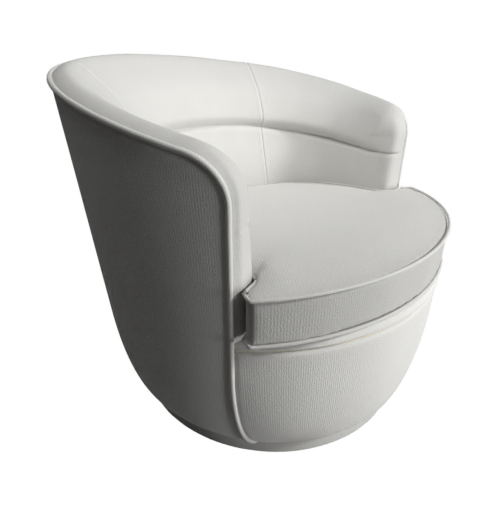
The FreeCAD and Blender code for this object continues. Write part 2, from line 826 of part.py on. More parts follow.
def seat_springs():
    solids = []
    low = DECK - HOOP_TOP + GAP
    for k in (-2, -1, 0, 1, 2):
        x = k * size("spring_spacing")
        points = [Vector(px, py, low - SLOPE * py) for px, py in spring_outline(x)]
        face = Part.Face(Part.makePolygon(points + points[:1]))
        solids.append(face.extrude(Vector(0, 0, size("spring_wire"))))
    return solids


springs = seat_springs()
keep("seat_springs", Part.makeCompound(springs))


def spring_clips():
    """A folded clip over each end of each spring, on the seat hoop."""
    solids = []
    half_length = 0.5 * size("clip_length")
    half_width = 0.5 * size("clip_width")
    for k in (-2, -1, 0, 1, 2):
        x = k * size("spring_spacing")
        for y in spring_ends(x):
            room = box((x - half_width, y - half_length, 0), (x + half_width, y + half_length, TOP))
            block = room.common(deck_slab(HOOP_TOP - 0.1, PAD_LOW + 0.1))
            slot = box((x - size("spring_wire"), y - REACH, 0), (x + size("spring_wire"), y + REACH, TOP))
            block = block.cut(slot.common(deck_slab(HOOP_TOP, HOOP_TOP - size("spring_wire") - GAP)))
            solids += block.Solids
    return Part.makeCompound(solids)


keep("spring_clips", spring_clips())

deck_room = drum(PAD_AT + GAP, HOOP_LOW, DECK_OVER)
keep("deck_pad", deck_room.common(deck_slab(PAD_LOW, CLOTH + GAP)))
keep("deck_cover", deck_room.common(deck_slab(CLOTH, 0.0)))

dust_low = BOARD_LOW - GAP - size("dust_cloth_thickness")
dust_radius = size("hem_radius") - FRAME_AT - size("hem_hoop_width") - GAP
dust_cover = Part.makeCylinder(dust_radius, size("dust_cloth_thickness"), Vector(0, 0, dust_low))
window = 0.5 * size("plate_side") + 2 * GAP
dust_cover = dust_cover.cut(box((-window, -window, 0), (window, window, TOP)))
keep("dust_cover", dust_cover)


# Outside of the back and arms: bent board, wadding and cover.

behind_arms = rim_prism(WELT_CUT)
HEM = size("hem_height")
keep("outer_panel", layer(PANEL_AT, FRAME_AT - GAP, HEM + CLOTH + GAP, TOP).common(rim_prism(2 * WELT_CUT)))
keep("outer_wadding", layer(WADDING_AT, PANEL_AT - GAP, HEM + CLOTH + GAP, TOP).common(rim_prism(WELT_CUT + GAP)))
keep("outer_cover", layer(0.0, CLOTH, HEM, TOP).common(behind_arms))


# Front of the seat: pad, cover below the seam and band above it.

before_arms = level_slab(0, TOP, -REACH, ARM_Y - WELT_CUT)
SEAM = size("front_seam_height")
PAD_FOOT = HEM + CLOTH + GAP
rail_pad = drum(WADDING_AT, PAD_FOOT, DECK_OVER).common(under_deck(CLOTH + GAP)).common(before_arms)
rail_core = drum(FRAME_AT - GAP, FLOOR_LOW, DECK_OVER).common(under_deck(PAD_LOW))
keep("front_pad", rail_pad.cut(rail_core).cut(drum(PAD_AT, HOOP_LOW, DECK_OVER)))
keep("front_cover", layer(0.0, CLOTH, HEM, SEAM).common(before_arms))
band_room = drum(0.0, SEAM + GAP, DECK_OVER).common(under_deck(0.0))
band_room = band_room.common(before_arms)
band_core = drum(CLOTH, HOOP_LOW, DECK_OVER).common(under_deck(CLOTH))
keep("front_band", band_room.cut(band_core).cut(drum(PAD_AT, HOOP_LOW, DECK_OVER)))


# Lower inside: the pad on the arms and back, and its cover, which also faces the arms.

def lower_inside_room():
    """From the deck up to the roll's seam."""
    low_back = DECK - SLOPE * REACH + GAP
    low_front = DECK + SLOPE * REACH + GAP
    high_back = seam_height(REACH) - 0.5 * GAP
    high_front = seam_height(-REACH) - 0.5 * GAP
    cross = (high_front - low_front) / (high_front - low_front - high_back + low_back)
    meet = -REACH + 2 * REACH * cross
    start = max(meet + 1.0, -2 * size("inside_half_width"))
    outline = [
        ((start, DECK - SLOPE * start + GAP), (REACH, low_back)),
        ((REACH, low_back), (REACH, high_back)),
        ((REACH, high_back), (start, seam_height(start) - 0.5 * GAP)),
        ((start, seam_height(start) - 0.5 * GAP), (start, DECK - SLOPE * start + GAP)),
    ]
    return side_face(outline).extrude(Vector(2 * REACH, 0, 0))


lower_room = lower_inside_room()
inside_cover_face = inside_space(0.0)
inside_cover_back = inside_space(CLOTH)
inside_pad_face = inside_space(CLOTH + GAP)
post_front = ARM_Y + RAIL_IN - GAP

inner_cover = drum(WELT_CUT, HOOP_LOW, TOP).common(lower_room).common(inside_cover_back.cut(inside_cover_face))
keep("inner_cover", inner_cover)
behind_posts = drum(PAD_AT, HOOP_LOW, TOP).common(level_slab(0, TOP, post_front, REACH))
before_posts = drum(FRAME_AT + GAP, HOOP_LOW, TOP).common(level_slab(0, TOP, ARM_Y, post_front))
pad_parts = [room.common(lower_room).cut(inside_pad_face) for room in (behind_posts, before_posts)]
keep("inner_pad", pad_parts[0].fuse(pad_parts[1]).removeSplitter())


# Padded roll round the top of the back and arms, with its cover.

roll_face = roll_solid(0.0, ROLL_START, -0.5 * GAP)
roll_cover_back = roll_solid(CLOTH, -2 * WELT_CUT, 20.0)
keep("roll_cover", roll_face.cut(roll_cover_back))
roll_pad = roll_solid(CLOTH + GAP, ROLL_START, -0.5 * GAP)
keep("roll_pad", roll_pad.common(drum(PAD_AT, HOOP_LOW, TOP)))
rail_strip = rim_prism(CLOTH + GAP).cut(rim_prism(RAIL_IN - GAP))
keep("top_rail_pad", layer(FRAME_AT, FRAME_IN - GAP, POST_TOP, TOP).common(rail_strip))


# Welt along the rim and down both arm fronts to the hem.

def welt_path():
    """Points from the hem up one arm front, round the rim and down the other side."""
    corner = size("arm_corner_radius")
    corner_y, corner_z = corner_centre(corner, 0.0, 0.0)
    away = math.hypot(corner_y - RIM_Y, corner_z - RIM_Z)
    start = math.atan2(corner_z - RIM_Z, corner_y - RIM_Y)
    half = []
    low = size("hem_height") + size("welt_radius")
    straight = 12
    for k in range(straight):
        height = low + (corner_z - low) * (k / straight) ** 1.3
        half.append((ARM_Y, height))
    bend = 5
    for k in range(bend):
        angle = math.pi + (start - math.pi) * k / bend
        half.append((corner_y + corner * math.cos(angle), corner_z + corner * math.sin(angle)))
    touch_y = RIM_Y + RIM_R * (corner_y - RIM_Y) / away
    rim = 16
    back_y = sum(barrel_level(size("rim_back_height"))[1:])
    for k in range(rim + 1):
        turn = 0.5 * math.pi * k / rim
        y = touch_y + (back_y - touch_y) * math.sin(turn)
        half.append((y, rim_height(y)))
    points = []
    for y, height in half:
        half_width, half_depth, centre_y = barrel_level(height)
        across = half_width * math.sqrt(max(0.0, 1 - ((y - centre_y) / half_depth) ** 2))
        points.append(Vector(across, y, height))
    mirrored = [Vector(-point.x, point.y, point.z) for point in points[:-1]]
    return mirrored + points[::-1]


def tube(points, radius, sides, closed):
    """A ruled tube of few sides along a line of points, with its ends cut square."""
    wires = []
    count = len(points)
    side_way = Vector(0, 0, 1)
    for k, point in enumerate(points):
        before = points[(k - 1) % count] if closed or k > 0 else point
        after = points[(k + 1) % count] if closed or k < count - 1 else point
        along = (after - before).normalize()
        out = Vector(point.x, point.y, 0).normalize()
        second = along.cross(out).normalize()
        first = second.cross(along).normalize()
        corners = []
        for n in range(sides):
            angle = 2 * math.pi * (n + 0.5) / sides
            corners.append(point + first * (radius * math.cos(angle)) + second * (radius * math.sin(angle)))
        wires.append(Part.makePolygon(corners + corners[:1]))
    if closed:
        half = count // 2
        first_part = Part.makeLoft(wires[:half + 1], True, True)
        second_part = Part.makeLoft(wires[half:] + wires[:1], True, True)
        return first_part.fuse(second_part).removeSplitter()
    return Part.makeLoft(wires, True, True)


keep("rim_welt", tube(welt_path(), size("welt_radius"), 8, False))


# Loose seat cushion: foam core, panels, boxing, welts and a zip at the back.
# It is drawn level, with its bottom welt at height 0, and then tilted onto the deck.

WING = size("wing_half_width")


def front_arc_y(x):
    return size("cushion_centre_y") - size("cushion_half_depth") * math.sqrt(1 - (x / size("cushion_half_width")) ** 2)


def cushion_outline():
    """Curves of the cushion's plan: front, two wings with notches, sides and back."""
    notch_y = ARM_Y - size("wing_notch_gap")
    tongue = size("tongue_half_width")
    half_width, back = inside_level(DECK - SLOPE * size("inside_back"))
    back_y = size("inside_centre_y") + back - size("tongue_gap")
    steps = 8
    front = [(WING * (2.0 * k / steps - 1), front_arc_y(WING * (2.0 * k / steps - 1))) for k in range(steps + 1)]
    left_wing = [front[-1], (0.5 * (WING + tongue) + 4.0, notch_y - 3.0), (tongue, notch_y)]
    side = []
    for k in range(13):
        turn = 0.5 * math.pi * (1 - k / 6.0)
        square = size("tongue_squareness")
        x = tongue * math.copysign(abs(math.sin(turn)) ** square, turn)
        y = notch_y + (back_y - notch_y) * abs(math.cos(turn)) ** square
        side.append((x, y))
    right_wing = [(-x, y) for x, y in left_wing[::-1]]
    return [front, left_wing, side, right_wing]


OUTLINE = cushion_outline()
MIDDLE_Y = 0.5 * (front_arc_y(0.0) + size("inside_centre_y") + size("inside_back"))


def outline_moved_in(inset):
    """The four runs of the plan, moved in square to themselves, with mitred corners."""
    flat = [point for run in OUTLINE for point in run[:-1]]
    count = len(flat)
    moved = []
    for k, (x, y) in enumerate(flat):
        before = flat[k - 1]
        after = flat[(k + 1) % count]
        first = math.hypot(x - before[0], y - before[1])
        second = math.hypot(after[0] - x, after[1] - y)
        in_first = ((before[1] - y) / first, (x - before[0]) / first)
        in_second = ((y - after[1]) / second, (after[0] - x) / second)
        share = inset / (1 + in_first[0] * in_second[0] + in_first[1] * in_second[1])
        moved.append((x + share * (in_first[0] + in_second[0]), y + share * (in_first[1] + in_second[1])))
    runs = []
    start = 0
    for run in OUTLINE:
        end = start + len(run)
        runs.append([moved[k % count] for k in range(start, end)])
        start = end - 1
    return runs


def cushion_wire(height, inset, drawn_in=0.0):
    """The cushion's plan at one height, moved in by inset and drawn in towards its middle."""
    edges = []
    shares = (1 - drawn_in / WING, 1 - drawn_in / (0.5 * (size("inside_back") - front_arc_y(0.0))))
    for run in outline_moved_in(inset):
        points = [Vector(x * shares[0], MIDDLE_Y + (y - MIDDLE_Y) * shares[1], height) for x, y in run]
        edges.append(open_curve(points))
    return Part.Wire(edges)


def body_wires(skin):
    """Plans of the boxing, whose sides draw in at half height, made smaller by the skin."""
    run = size("boxing_height") - 2 * skin
    levels = [(0.0, 0.0), (0.25, 0.75), (0.5, 1.0), (0.75, 0.75), (1.0, 0.0)]
    return [cushion_wire(skin + share * run, skin + draw * size("boxing_draw_in")) for share, draw in levels]


def cushion_body(skin):
    return Part.makeLoft(body_wires(skin), True, True)


def crown_wires(start, rise, skin):
    """Plans of a dome over the boxing, upwards for a positive rise and downwards for a negative."""
    levels = [(0.0, 0.0), (0.34, 14.0), (0.62, 42.0), (0.85, 92.0), (0.96, 150.0), (1.0, 205.0)]
    return [cushion_wire(start + share * rise, skin, inset) for share, inset in levels]


def crown(start, rise, skin):
    return Part.makeLoft(crown_wires(start, rise, skin), True, True)


skin = size("cushion_fabric")
tall = size("boxing_height")
bottom_crown = size("cushion_welt_height") - GAP
top_cap = crown(tall, size("cushion_crown"), 0.0)
bottom_cap = crown(0.0, -bottom_crown, 0.0)
body_outer = cushion_body(0.0)
inner_gap = skin + size("cushion_core_gap")
core_wires = crown_wires(inner_gap, -bottom_crown, inner_gap)[:0:-1] + body_wires(inner_gap)
core_wires += crown_wires(tall - inner_gap, size("cushion_crown"), inner_gap)[1:]
core = Part.makeLoft(core_wires, True, True)
if core.Volume < 0:
    core = core.reversed()
under_top = crown(tall - skin, size("cushion_crown"), 0.0)
under_bottom = crown(skin, -bottom_crown, 0.0)
top_panel = top_cap.fuse(Part.Face(cushion_wire(tall - skin, 0.0)).extrude(Vector(0, 0, skin)))
top_panel = top_panel.cut(under_top)
bottom_panel = bottom_cap.fuse(Part.Face(cushion_wire(0.0, 0.0)).extrude(Vector(0, 0, skin)))
bottom_panel = bottom_panel.cut(under_bottom)
boxing_room = level_slab(skin + GAP, tall - skin - GAP)
boxing_band = body_outer.cut(cushion_body(skin)).common(boxing_room)
zip_from = size("zip_panel_front_y")


def welt_points(height, out):
    """Points along the plan's edge, moved outwards, for one of the cushion's welts."""
    points = []
    for run in outline_moved_in(-out):
        edge = open_curve([Vector(x, y, height) for x, y in run])
        count = max(2, int(edge.Length / size("cushion_welt_step")))
        first, last = edge.ParameterRange
        for k in range(count):
            points.append(edge.valueAt(first + (last - first) * k / count))
    return points


def cushion_zip():
    """Closed zip tape along the back of the boxing, with its slider at one end."""
    half = 0.5 * size("zip_width")
    middle = 0.5 * tall
    deep = size("boxing_draw_in")
    against = deep - 3 * GAP
    outer = cushion_wire(middle - half, against - size("zip_thickness"))
    inner = cushion_wire(middle - half, against)
    ring = Part.Face(outer).extrude(Vector(0, 0, 2 * half)).cut(Part.Face(inner).extrude(Vector(0, 0, 2 * half)))
    length = size("zip_half_length")
    return ring.common(box((-length, zip_from, 0), (length, REACH, tall)))


TILT = math.degrees(math.atan(SLOPE))
pivot = Vector(0, size("deck_front_y"), 0)
lift = size("deck_front_height") + size("cushion_welt_height")


def keep_on_deck(name, shape):
    piece = keep(name, shape)
    turn = FreeCAD.Rotation(Vector(1, 0, 0), -TILT)
    moved = pivot - turn.multVec(pivot) + Vector(0, 0, lift)
    piece.Placement = FreeCAD.Placement(moved, turn)
    return piece


keep_on_deck("cushion_top_panel", top_panel)
keep_on_deck("cushion_bottom_panel", bottom_panel)
keep_on_deck("cushion_boxing", boxing_band.common(level_slab(0, tall, -REACH, zip_from)))
keep_on_deck("cushion_zip_panel", boxing_band.common(level_slab(0, tall, zip_from + GAP, REACH)))
keep_on_deck("cushion_zip", cushion_zip())
welt_out = size("cushion_welt_radius") + size("cushion_welt_clearance")
top_welt = tube(welt_points(tall - 0.5 * skin, welt_out), size("cushion_welt_radius"), 6, True)
bottom_welt = tube(welt_points(0.5 * skin, welt_out), size("cushion_welt_radius"), 6, True)
keep_on_deck("cushion_top_welt", top_welt)
keep_on_deck("cushion_bottom_welt", bottom_welt)

# The foam gives way to the folded panels and the welt where the wings meet the tongue.
for panel, way in ((top_panel, -1), (bottom_panel, 1)):
    nearer = panel.copy()
    nearer.translate(Vector(0, 0, way * GAP))
    core = core.cut(panel).cut(nearer)
core = core.cut(bottom_welt)
core = max(core.Solids, key=lambda solid: solid.Volume)
keep_on_deck("cushion_core", core)


# Move the origin, then check and write every sub-part.

forward = Vector(0, -size("origin_behind_axis"), 0)
for piece in pieces.values():
    piece.Placement = FreeCAD.Placement(piece.Placement.Base + forward, piece.Placement.Rotation)
doc.recompute()
failed = [item.Label for item in doc.Objects if "Invalid" in item.State or "Error" in item.State]
for name, piece in pieces.items():
    shape = piece.Shape
    if shape.isNull() or not shape.isValid() or not shape.Solids:
        failed.append(name)
if failed:
    raise RuntimeError("failed: " + ", ".join(failed))

os.makedirs("parts", exist_ok=True)
for name, piece in pieces.items():
    piece.Shape.exportStep("parts/%s.step" % name)
    print("%-22s %2d %9.0f mm3" % (name, len(piece.Shape.Solids), piece.Shape.Volume))
print(len(pieces), "pieces")
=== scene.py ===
import json
import math
import bmesh
import bpy
import numpy as np
from mathutils import Matrix, Vector, noise


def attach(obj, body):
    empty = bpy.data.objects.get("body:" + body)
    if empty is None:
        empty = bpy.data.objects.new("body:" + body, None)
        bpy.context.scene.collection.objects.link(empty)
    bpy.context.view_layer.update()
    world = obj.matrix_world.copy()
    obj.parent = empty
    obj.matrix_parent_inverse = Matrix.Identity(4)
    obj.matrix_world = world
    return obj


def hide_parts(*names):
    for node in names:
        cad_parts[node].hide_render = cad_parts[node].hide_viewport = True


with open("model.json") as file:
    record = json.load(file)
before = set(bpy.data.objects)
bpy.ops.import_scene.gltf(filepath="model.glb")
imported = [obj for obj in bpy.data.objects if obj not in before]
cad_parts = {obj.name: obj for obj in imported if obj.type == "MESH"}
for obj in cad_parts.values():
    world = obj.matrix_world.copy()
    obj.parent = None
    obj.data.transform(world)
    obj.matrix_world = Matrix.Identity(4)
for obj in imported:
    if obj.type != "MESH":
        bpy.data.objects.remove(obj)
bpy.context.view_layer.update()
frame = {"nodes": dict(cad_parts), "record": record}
nodes = frame["nodes"]

# The chair's own surface, the same as in the part's source.
# Heights and lengths are in metres; the front of the seat is towards -Y.
# Shapes are drawn round the swivel axis and moved onto the part's origin as they are made.

TO_ORIGIN = Vector((0, -0.02555, 0))
ARM_Y = -0.166
HEM_Z = 0.046
BOWL_Z = 0.261
FRONT_SEAM_Z = 0.308
BOWL_FULLNESS = 0.985
RIM_START_Z, RIM_MIDDLE_Z, RIM_BACK_Z = 0.592, 0.6645, 0.715
RIM_MIDDLE_Y, RIM_BACK_Y = 0.1285, 0.411
CLOTH_DEPTH = 0.0022
HEM_LIFT = 0.0006
ARM_CORNER = 0.070


def barrel(height):
    """Half width, half depth and centre of the outside at one height."""
    part = (height - 0.300) / 0.400
    hem_part = (HEM_Z - 0.300) / 0.400
    down = min(1.0, max(0.0, (BOWL_Z - height) / (BOWL_Z - HEM_Z)))
    turn = 1 - math.sqrt(1 - (BOWL_FULLNESS * down) ** 2)
    turn /= 1 - math.sqrt(1 - BOWL_FULLNESS ** 2)
    values = []
    for low, high, hem in ((0.3947, 0.4065, 0.320), (0.3545, 0.3889, 0.320), (-0.0078, 0.0232, -0.0084)):
        straight = low + (high - low) * part
        at_hem = low + (high - low) * hem_part
        values.append(straight - (at_hem - hem) * turn)
    return values


def circle_through(points):
    (y1, z1), (y2, z2), (y3, z3) = points
    d = 2 * (y1 * (z2 - z3) + y2 * (z3 - z1) + y3 * (z1 - z2))
    s1, s2, s3 = y1 ** 2 + z1 ** 2, y2 ** 2 + z2 ** 2, y3 ** 2 + z3 ** 2
    y = (s1 * (z2 - z3) + s2 * (z3 - z1) + s3 * (z1 - z2)) / d
    z = (s1 * (y3 - y2) + s2 * (y1 - y3) + s3 * (y2 - y1)) / d
    return y, z, math.hypot(y1 - y, z1 - z)


RIM_Y, RIM_Z, RIM_R = circle_through(
    ((ARM_Y, RIM_START_Z), (RIM_MIDDLE_Y, RIM_MIDDLE_Z), (RIM_BACK_Y, RIM_BACK_Z))
)
CORNER_Y = ARM_Y + ARM_CORNER
CORNER_Z = RIM_Z + math.sqrt((RIM_R - ARM_CORNER) ** 2 - (CORNER_Y - RIM_Y) ** 2)
RIM_START = math.atan2(CORNER_Z - RIM_Z, CORNER_Y - RIM_Y)
TOUCH_Y = RIM_Y + RIM_R * math.cos(RIM_START)


def rim_height(y):
    """Height of the welt along the rim, with the round corner at the arm fronts."""
    if y > TOUCH_Y:
        return RIM_Z + math.sqrt(RIM_R ** 2 - (y - RIM_Y) ** 2)
    across = min(1.0, max(-1.0, (y - CORNER_Y) / ARM_CORNER))
    return CORNER_Z + ARM_CORNER * math.sqrt(1 - across ** 2)


def outside_point(turn, height, inset=0.0):
    half_width, half_depth, centre_y = barrel(height)
    across = (half_width - inset) * math.sin(turn)
    return Vector((across, centre_y + (half_depth - inset) * math.cos(turn), height))


def outside_x(y, height):
    half_width, half_depth, centre_y = barrel(height)
    return half_width * math.sqrt(max(0.0, 1 - ((y - centre_y) / half_depth) ** 2))


def outside_turn(y, height):
    half_depth, centre_y = barrel(height)[1:]
    return math.acos(max(-1.0, min(1.0, (y - centre_y) / half_depth)))


def smooth(value, low, high):
    share = min(1.0, max(0.0, (value - low) / (high - low)))
    return share * share * (3 - 2 * share)


# Fabric and other materials. The cloth is a pale grey chenille whose weave follows each piece's own map.

def new_material(name, roughness, **values):
    material = bpy.data.materials.new(name)
    material.use_nodes = True
    shader = material.node_tree.nodes["Principled BSDF"]
    shader.inputs["Roughness"].default_value = roughness
    for socket, value in values.items():
        shader.inputs[socket.replace("_", " ")].default_value = value
    return material, material.node_tree, shader


def add_node(tree, kind, **values):
    node = tree.nodes.new(kind)
    for name, value in values.items():
        if name in node.inputs:
            node.inputs[name].default_value = value
        else:
            setattr(node, name, value)
    return node


def mixed(tree, share, first, second, kind="MIX"):
    """A colour mix; each of the three inputs is a socket or a plain value."""
    mix = tree.nodes.new("ShaderNodeMix")
    mix.data_type = "RGBA"
    mix.blend_type = kind
    for socket, value in ((mix.inputs["Factor"], share), (mix.inputs["A"], first), (mix.inputs["B"], second)):
        if isinstance(value, bpy.types.NodeSocket):
            tree.links.new(value, socket)
        else:
            socket.default_value = value
    return mix.outputs["Result"]


def math_node(tree, operation, first, second):
    node = tree.nodes.new("ShaderNodeMath")
    node.operation = operation
    for socket, value in zip(node.inputs, (first, second)):
        if isinstance(value, bpy.types.NodeSocket):
            tree.links.new(value, socket)
        else:
            socket.default_value = value
    return node.outputs[0]


def ramped(tree, value, low, high):
    node = tree.nodes.new("ShaderNodeMapRange")
    node.inputs["From Min"].default_value = low
    node.inputs["From Max"].default_value = high
    tree.links.new(value, node.inputs["Value"])
    return node.outputs["Result"]


def chenille(name, tint, angle, pitch, contrast=0.16, nap=0.10):
    """Woven chenille: ribs at one angle on the map, cross threads, fuzz and nap marks."""
    fuzzy = {"Sheen_Weight": 0.22, "Sheen_Roughness": 0.5, "Specular_IOR_Level": 0.25}
    material, tree, shader = new_material(name, 0.92, **fuzzy)
    where = add_node(tree, "ShaderNodeTexCoord")
    turned = add_node(tree, "ShaderNodeMapping")
    turned.inputs["Rotation"].default_value = (0, 0, math.radians(angle))
    tree.links.new(where.outputs["UV"], turned.inputs["Vector"])
    ribs = add_node(tree, "ShaderNodeTexWave", Scale=math.pi / (10 * pitch), Distortion=5.0, Detail=3.0)
    ribs.inputs["Detail Scale"].default_value = 3.0
    tree.links.new(turned.outputs["Vector"], ribs.inputs["Vector"])
    thread_scale = math.pi / (10 * 0.6 * pitch)
    threads = add_node(tree, "ShaderNodeTexWave", Scale=thread_scale, Distortion=3.0, bands_direction="Y")
    tree.links.new(turned.outputs["Vector"], threads.inputs["Vector"])
    fuzz = add_node(tree, "ShaderNodeTexNoise", Scale=330.0, Detail=4.0, Roughness=0.75)
    tree.links.new(where.outputs["UV"], fuzz.inputs["Vector"])
    marks = add_node(tree, "ShaderNodeTexNoise", Scale=9.0, Detail=4.0, Roughness=0.6)
    stretched = add_node(tree, "ShaderNodeMapping")
    stretched.inputs["Scale"].default_value = (1.0, 0.55, 1.0)
    tree.links.new(where.outputs["UV"], stretched.inputs["Vector"])
    tree.links.new(stretched.outputs["Vector"], marks.inputs["Vector"])
    dark = tuple(channel * (1 - contrast) for channel in tint) + (1.0,)
    light = tuple(min(1.0, channel * (1 + 0.5 * contrast)) for channel in tint) + (1.0,)
    weave = math_node(tree, "MULTIPLY", ribs.outputs["Fac"], 0.28)
    weave = math_node(tree, "ADD", weave, math_node(tree, "MULTIPLY", threads.outputs["Fac"], 0.17))
    fuzzed = math_node(tree, "MULTIPLY", ramped(tree, fuzz.outputs["Fac"], 0.3, 0.7), 0.55)
    weave = math_node(tree, "ADD", weave, fuzzed)
    colour = mixed(tree, weave, dark, light)
    napped = tuple(channel * (1 - nap) for channel in tint) + (1.0,)
    worn = math_node(tree, "MULTIPLY", ramped(tree, marks.outputs["Fac"], 0.42, 0.72), 0.6)
    colour = mixed(tree, worn, colour, napped)
    tree.links.new(colour, shader.inputs["Base Color"])
    bump = add_node(tree, "ShaderNodeBump", Strength=0.5, Distance=0.0012)
    tree.links.new(weave, bump.inputs["Height"])
    tree.links.new(bump.outputs["Normal"], shader.inputs["Normal"])
    return material


CLOTH_TINT = (0.705, 0.70, 0.675)
outside_cloth = chenille("outside_cloth", CLOTH_TINT, 0, 0.0042, 0.24, 0.14)
# The inside cloth is a darker copy of the same cloth: painted shade on the roll, the arm fronts and the inner
# wall.
inside_cloth_painted_shade = chenille("inside_cloth_painted_shade", tuple(0.87 * c for c in CLOTH_TINT), 0, 0.0040, 0.12, 0.07)
# The front cloth is a lighter copy of the same cloth: painted light on the seat front and on its band.
front_cloth_painted_light = chenille("front_cloth_painted_light", tuple(1.12 * c for c in CLOTH_TINT), 0, 0.0040, 0.17, 0.08)
cushion_cloth = chenille("cushion_cloth", CLOTH_TINT, 45, 0.0046, 0.15, 0.08)
# The boxing cloth is a darker copy of the same cloth: painted shade on the cushion's sides.
boxing_cloth_painted_shade = chenille("boxing_cloth_painted_shade", tuple(0.82 * c for c in CLOTH_TINT), 0, 0.0042, 0.16, 0.12)
welt_cloth = chenille("welt_cloth", CLOTH_TINT, 45, 0.0036, 0.14, 0.06)
# The plinth cloth is a darker copy of the same cloth: painted shade on the plinth band.
plinth_cloth_painted_shade = chenille("plinth_cloth_painted_shade", tuple(0.92 * c for c in CLOTH_TINT), 0, 0.0042, 0.18, 0.10)


def plain_material(name, colour, second, roughness, scale, stretch=(1, 1, 1), bump_depth=0.0, **values):
    """A two-tone surface mottled by noise on Object coordinates."""
    material, tree, shader = new_material(name, roughness, **values)
    where = add_node(tree, "ShaderNodeTexCoord")
    stretched = add_node(tree, "ShaderNodeMapping")
    stretched.inputs["Scale"].default_value = stretch
    tree.links.new(where.outputs["Object"], stretched.inputs["Vector"])
    grain = add_node(tree, "ShaderNodeTexNoise", Scale=scale, Detail=5.0, Roughness=0.62)
    tree.links.new(stretched.outputs["Vector"], grain.inputs["Vector"])
    share = ramped(tree, grain.outputs["Fac"], 0.32, 0.68)
    tree.links.new(mixed(tree, share, colour + (1.0,), second + (1.0,)), shader.inputs["Base Color"])
    if bump_depth:
        bump = add_node(tree, "ShaderNodeBump", Strength=0.6, Distance=bump_depth)
        tree.links.new(grain.outputs["Fac"], bump.inputs["Height"])
        tree.links.new(bump.outputs["Normal"], shader.inputs["Normal"])
    return material


finishes = {
    "plywood": plain_material(
        "birch_plywood", (0.74, 0.58, 0.38), (0.55, 0.40, 0.24),
        0.6, 60.0, (1, 1, 9), 0.0003,
    ),
    "fibreboard": plain_material(
        "bent_fibreboard", (0.50, 0.38, 0.25), (0.38, 0.28, 0.18),
        0.8, 240.0, (1, 1, 1), 0.0003,
    ),
    "plate_steel": plain_material(
        "black_plate", (0.03, 0.03, 0.033), (0.055, 0.055, 0.06),
        0.42, 300.0, (1, 1, 1), 0.0001,
    ),
    "zinc_steel": plain_material(
        "zinc_plate", (0.62, 0.63, 0.65), (0.50, 0.51, 0.54),
        0.35, 150.0, (1, 1, 1), 0.0, Metallic=1.0,
    ),
    "bearing_steel": plain_material(
        "bright_steel", (0.60, 0.60, 0.62), (0.50, 0.50, 0.53),
        0.2, 90.0, (1, 1, 1), 0.0, Metallic=1.0,
    ),
    "foam": plain_material(
        "seat_foam", (0.86, 0.80, 0.60), (0.74, 0.66, 0.44),
        0.95, 420.0, (1, 1, 1), 0.0006,
    ),
    "wadding": plain_material(
        "polyester_wadding", (0.88, 0.88, 0.86), (0.76, 0.76, 0.74),
        0.97, 110.0, (1, 1, 3), 0.0008,
    ),
    "lining": plain_material(
        "deck_lining", (0.50, 0.48, 0.45), (0.40, 0.385, 0.36),
        0.9, 700.0, (1, 4, 1), 0.0004,
    ),
    "dust_cloth": plain_material(
        "dust_cloth", (0.022, 0.022, 0.022), (0.05, 0.05, 0.05),
        0.9, 900.0, (1, 1, 1), 0.0003,
    ),
    "glide_plastic": plain_material(
        "glide_nylon", (0.03, 0.03, 0.03), (0.05, 0.05, 0.05),
        0.5, 200.0, (1, 1, 1), 0.0001,
    ),
    "zip_nylon": plain_material(
        "zip_nylon", (0.42, 0.40, 0.38), (0.33, 0.31, 0.29),
        0.6, 500.0, (1, 1, 1), 0.0002,
    ),
    "upholstery": plain_material(
        "cover_back", (0.66, 0.65, 0.62), (0.56, 0.55, 0.52),
        0.92, 500.0, (1, 1, 1), 0.0004,
    ),
}
for entry in frame["record"]["subparts"]:
    mesh = nodes[entry["node"]].data
    mesh.materials.clear()
    mesh.materials.append(finishes[entry["material_slot"]])


# Grids of points made into a mesh with a map in metres, and the finish of each piece.

def grid_faces(rows, columns, start, closed=False):
    faces = []
    for i in range(rows - 1):
        for j in range(columns if closed else columns - 1):
            after = (j + 1) % columns
            a, b = start + i * columns + j, start + i * columns + after
            faces.append((a, b, b + columns, a + columns))
    return faces


def make_piece(name, points, faces, maps, material, body, merge=0.00005):
    """A mesh piece at the origin, with its doubles merged; its faces keep the winding they are given."""
    mesh = bpy.data.meshes.new(name)
    mesh.from_pydata([tuple(p + TO_ORIGIN) for p in points], [], faces)
    layer = mesh.uv_layers.new(name="UVMap")
    spots = np.array([maps[loop.vertex_index] for loop in mesh.loops], np.float32)
    layer.data.foreach_set("uv", spots.ravel())
    piece = bpy.data.objects.new(name, mesh)
    bpy.context.scene.collection.objects.link(piece)
    work = bmesh.new()
    work.from_mesh(mesh)
    bmesh.ops.remove_doubles(work, verts=work.verts, dist=merge)
    bmesh.ops.dissolve_degenerate(work, edges=work.edges, dist=0.5 * merge)
    work.to_mesh(mesh)
    work.free()
    mesh.polygons.foreach_set("use_smooth", [True] * len(mesh.polygons))
    mesh.materials.append(material)
    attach(piece, body)
    return piece


def thicken(piece, depth, inwards=-1.0):
    solid = piece.modifiers.new("Cloth", "SOLIDIFY")
    solid.thickness = depth
    solid.offset = inwards


def lengths_along(points):
    total = [0.0]
    for before, after in zip(points, points[1:]):
        total.append(total[-1] + (after - before).length)
    return total


# Outside cover: one taut sheet of cloth round the back and arms, from the hem up to the rim.
# Chenille with its rib running up; made as a grid that ends on the welt line.

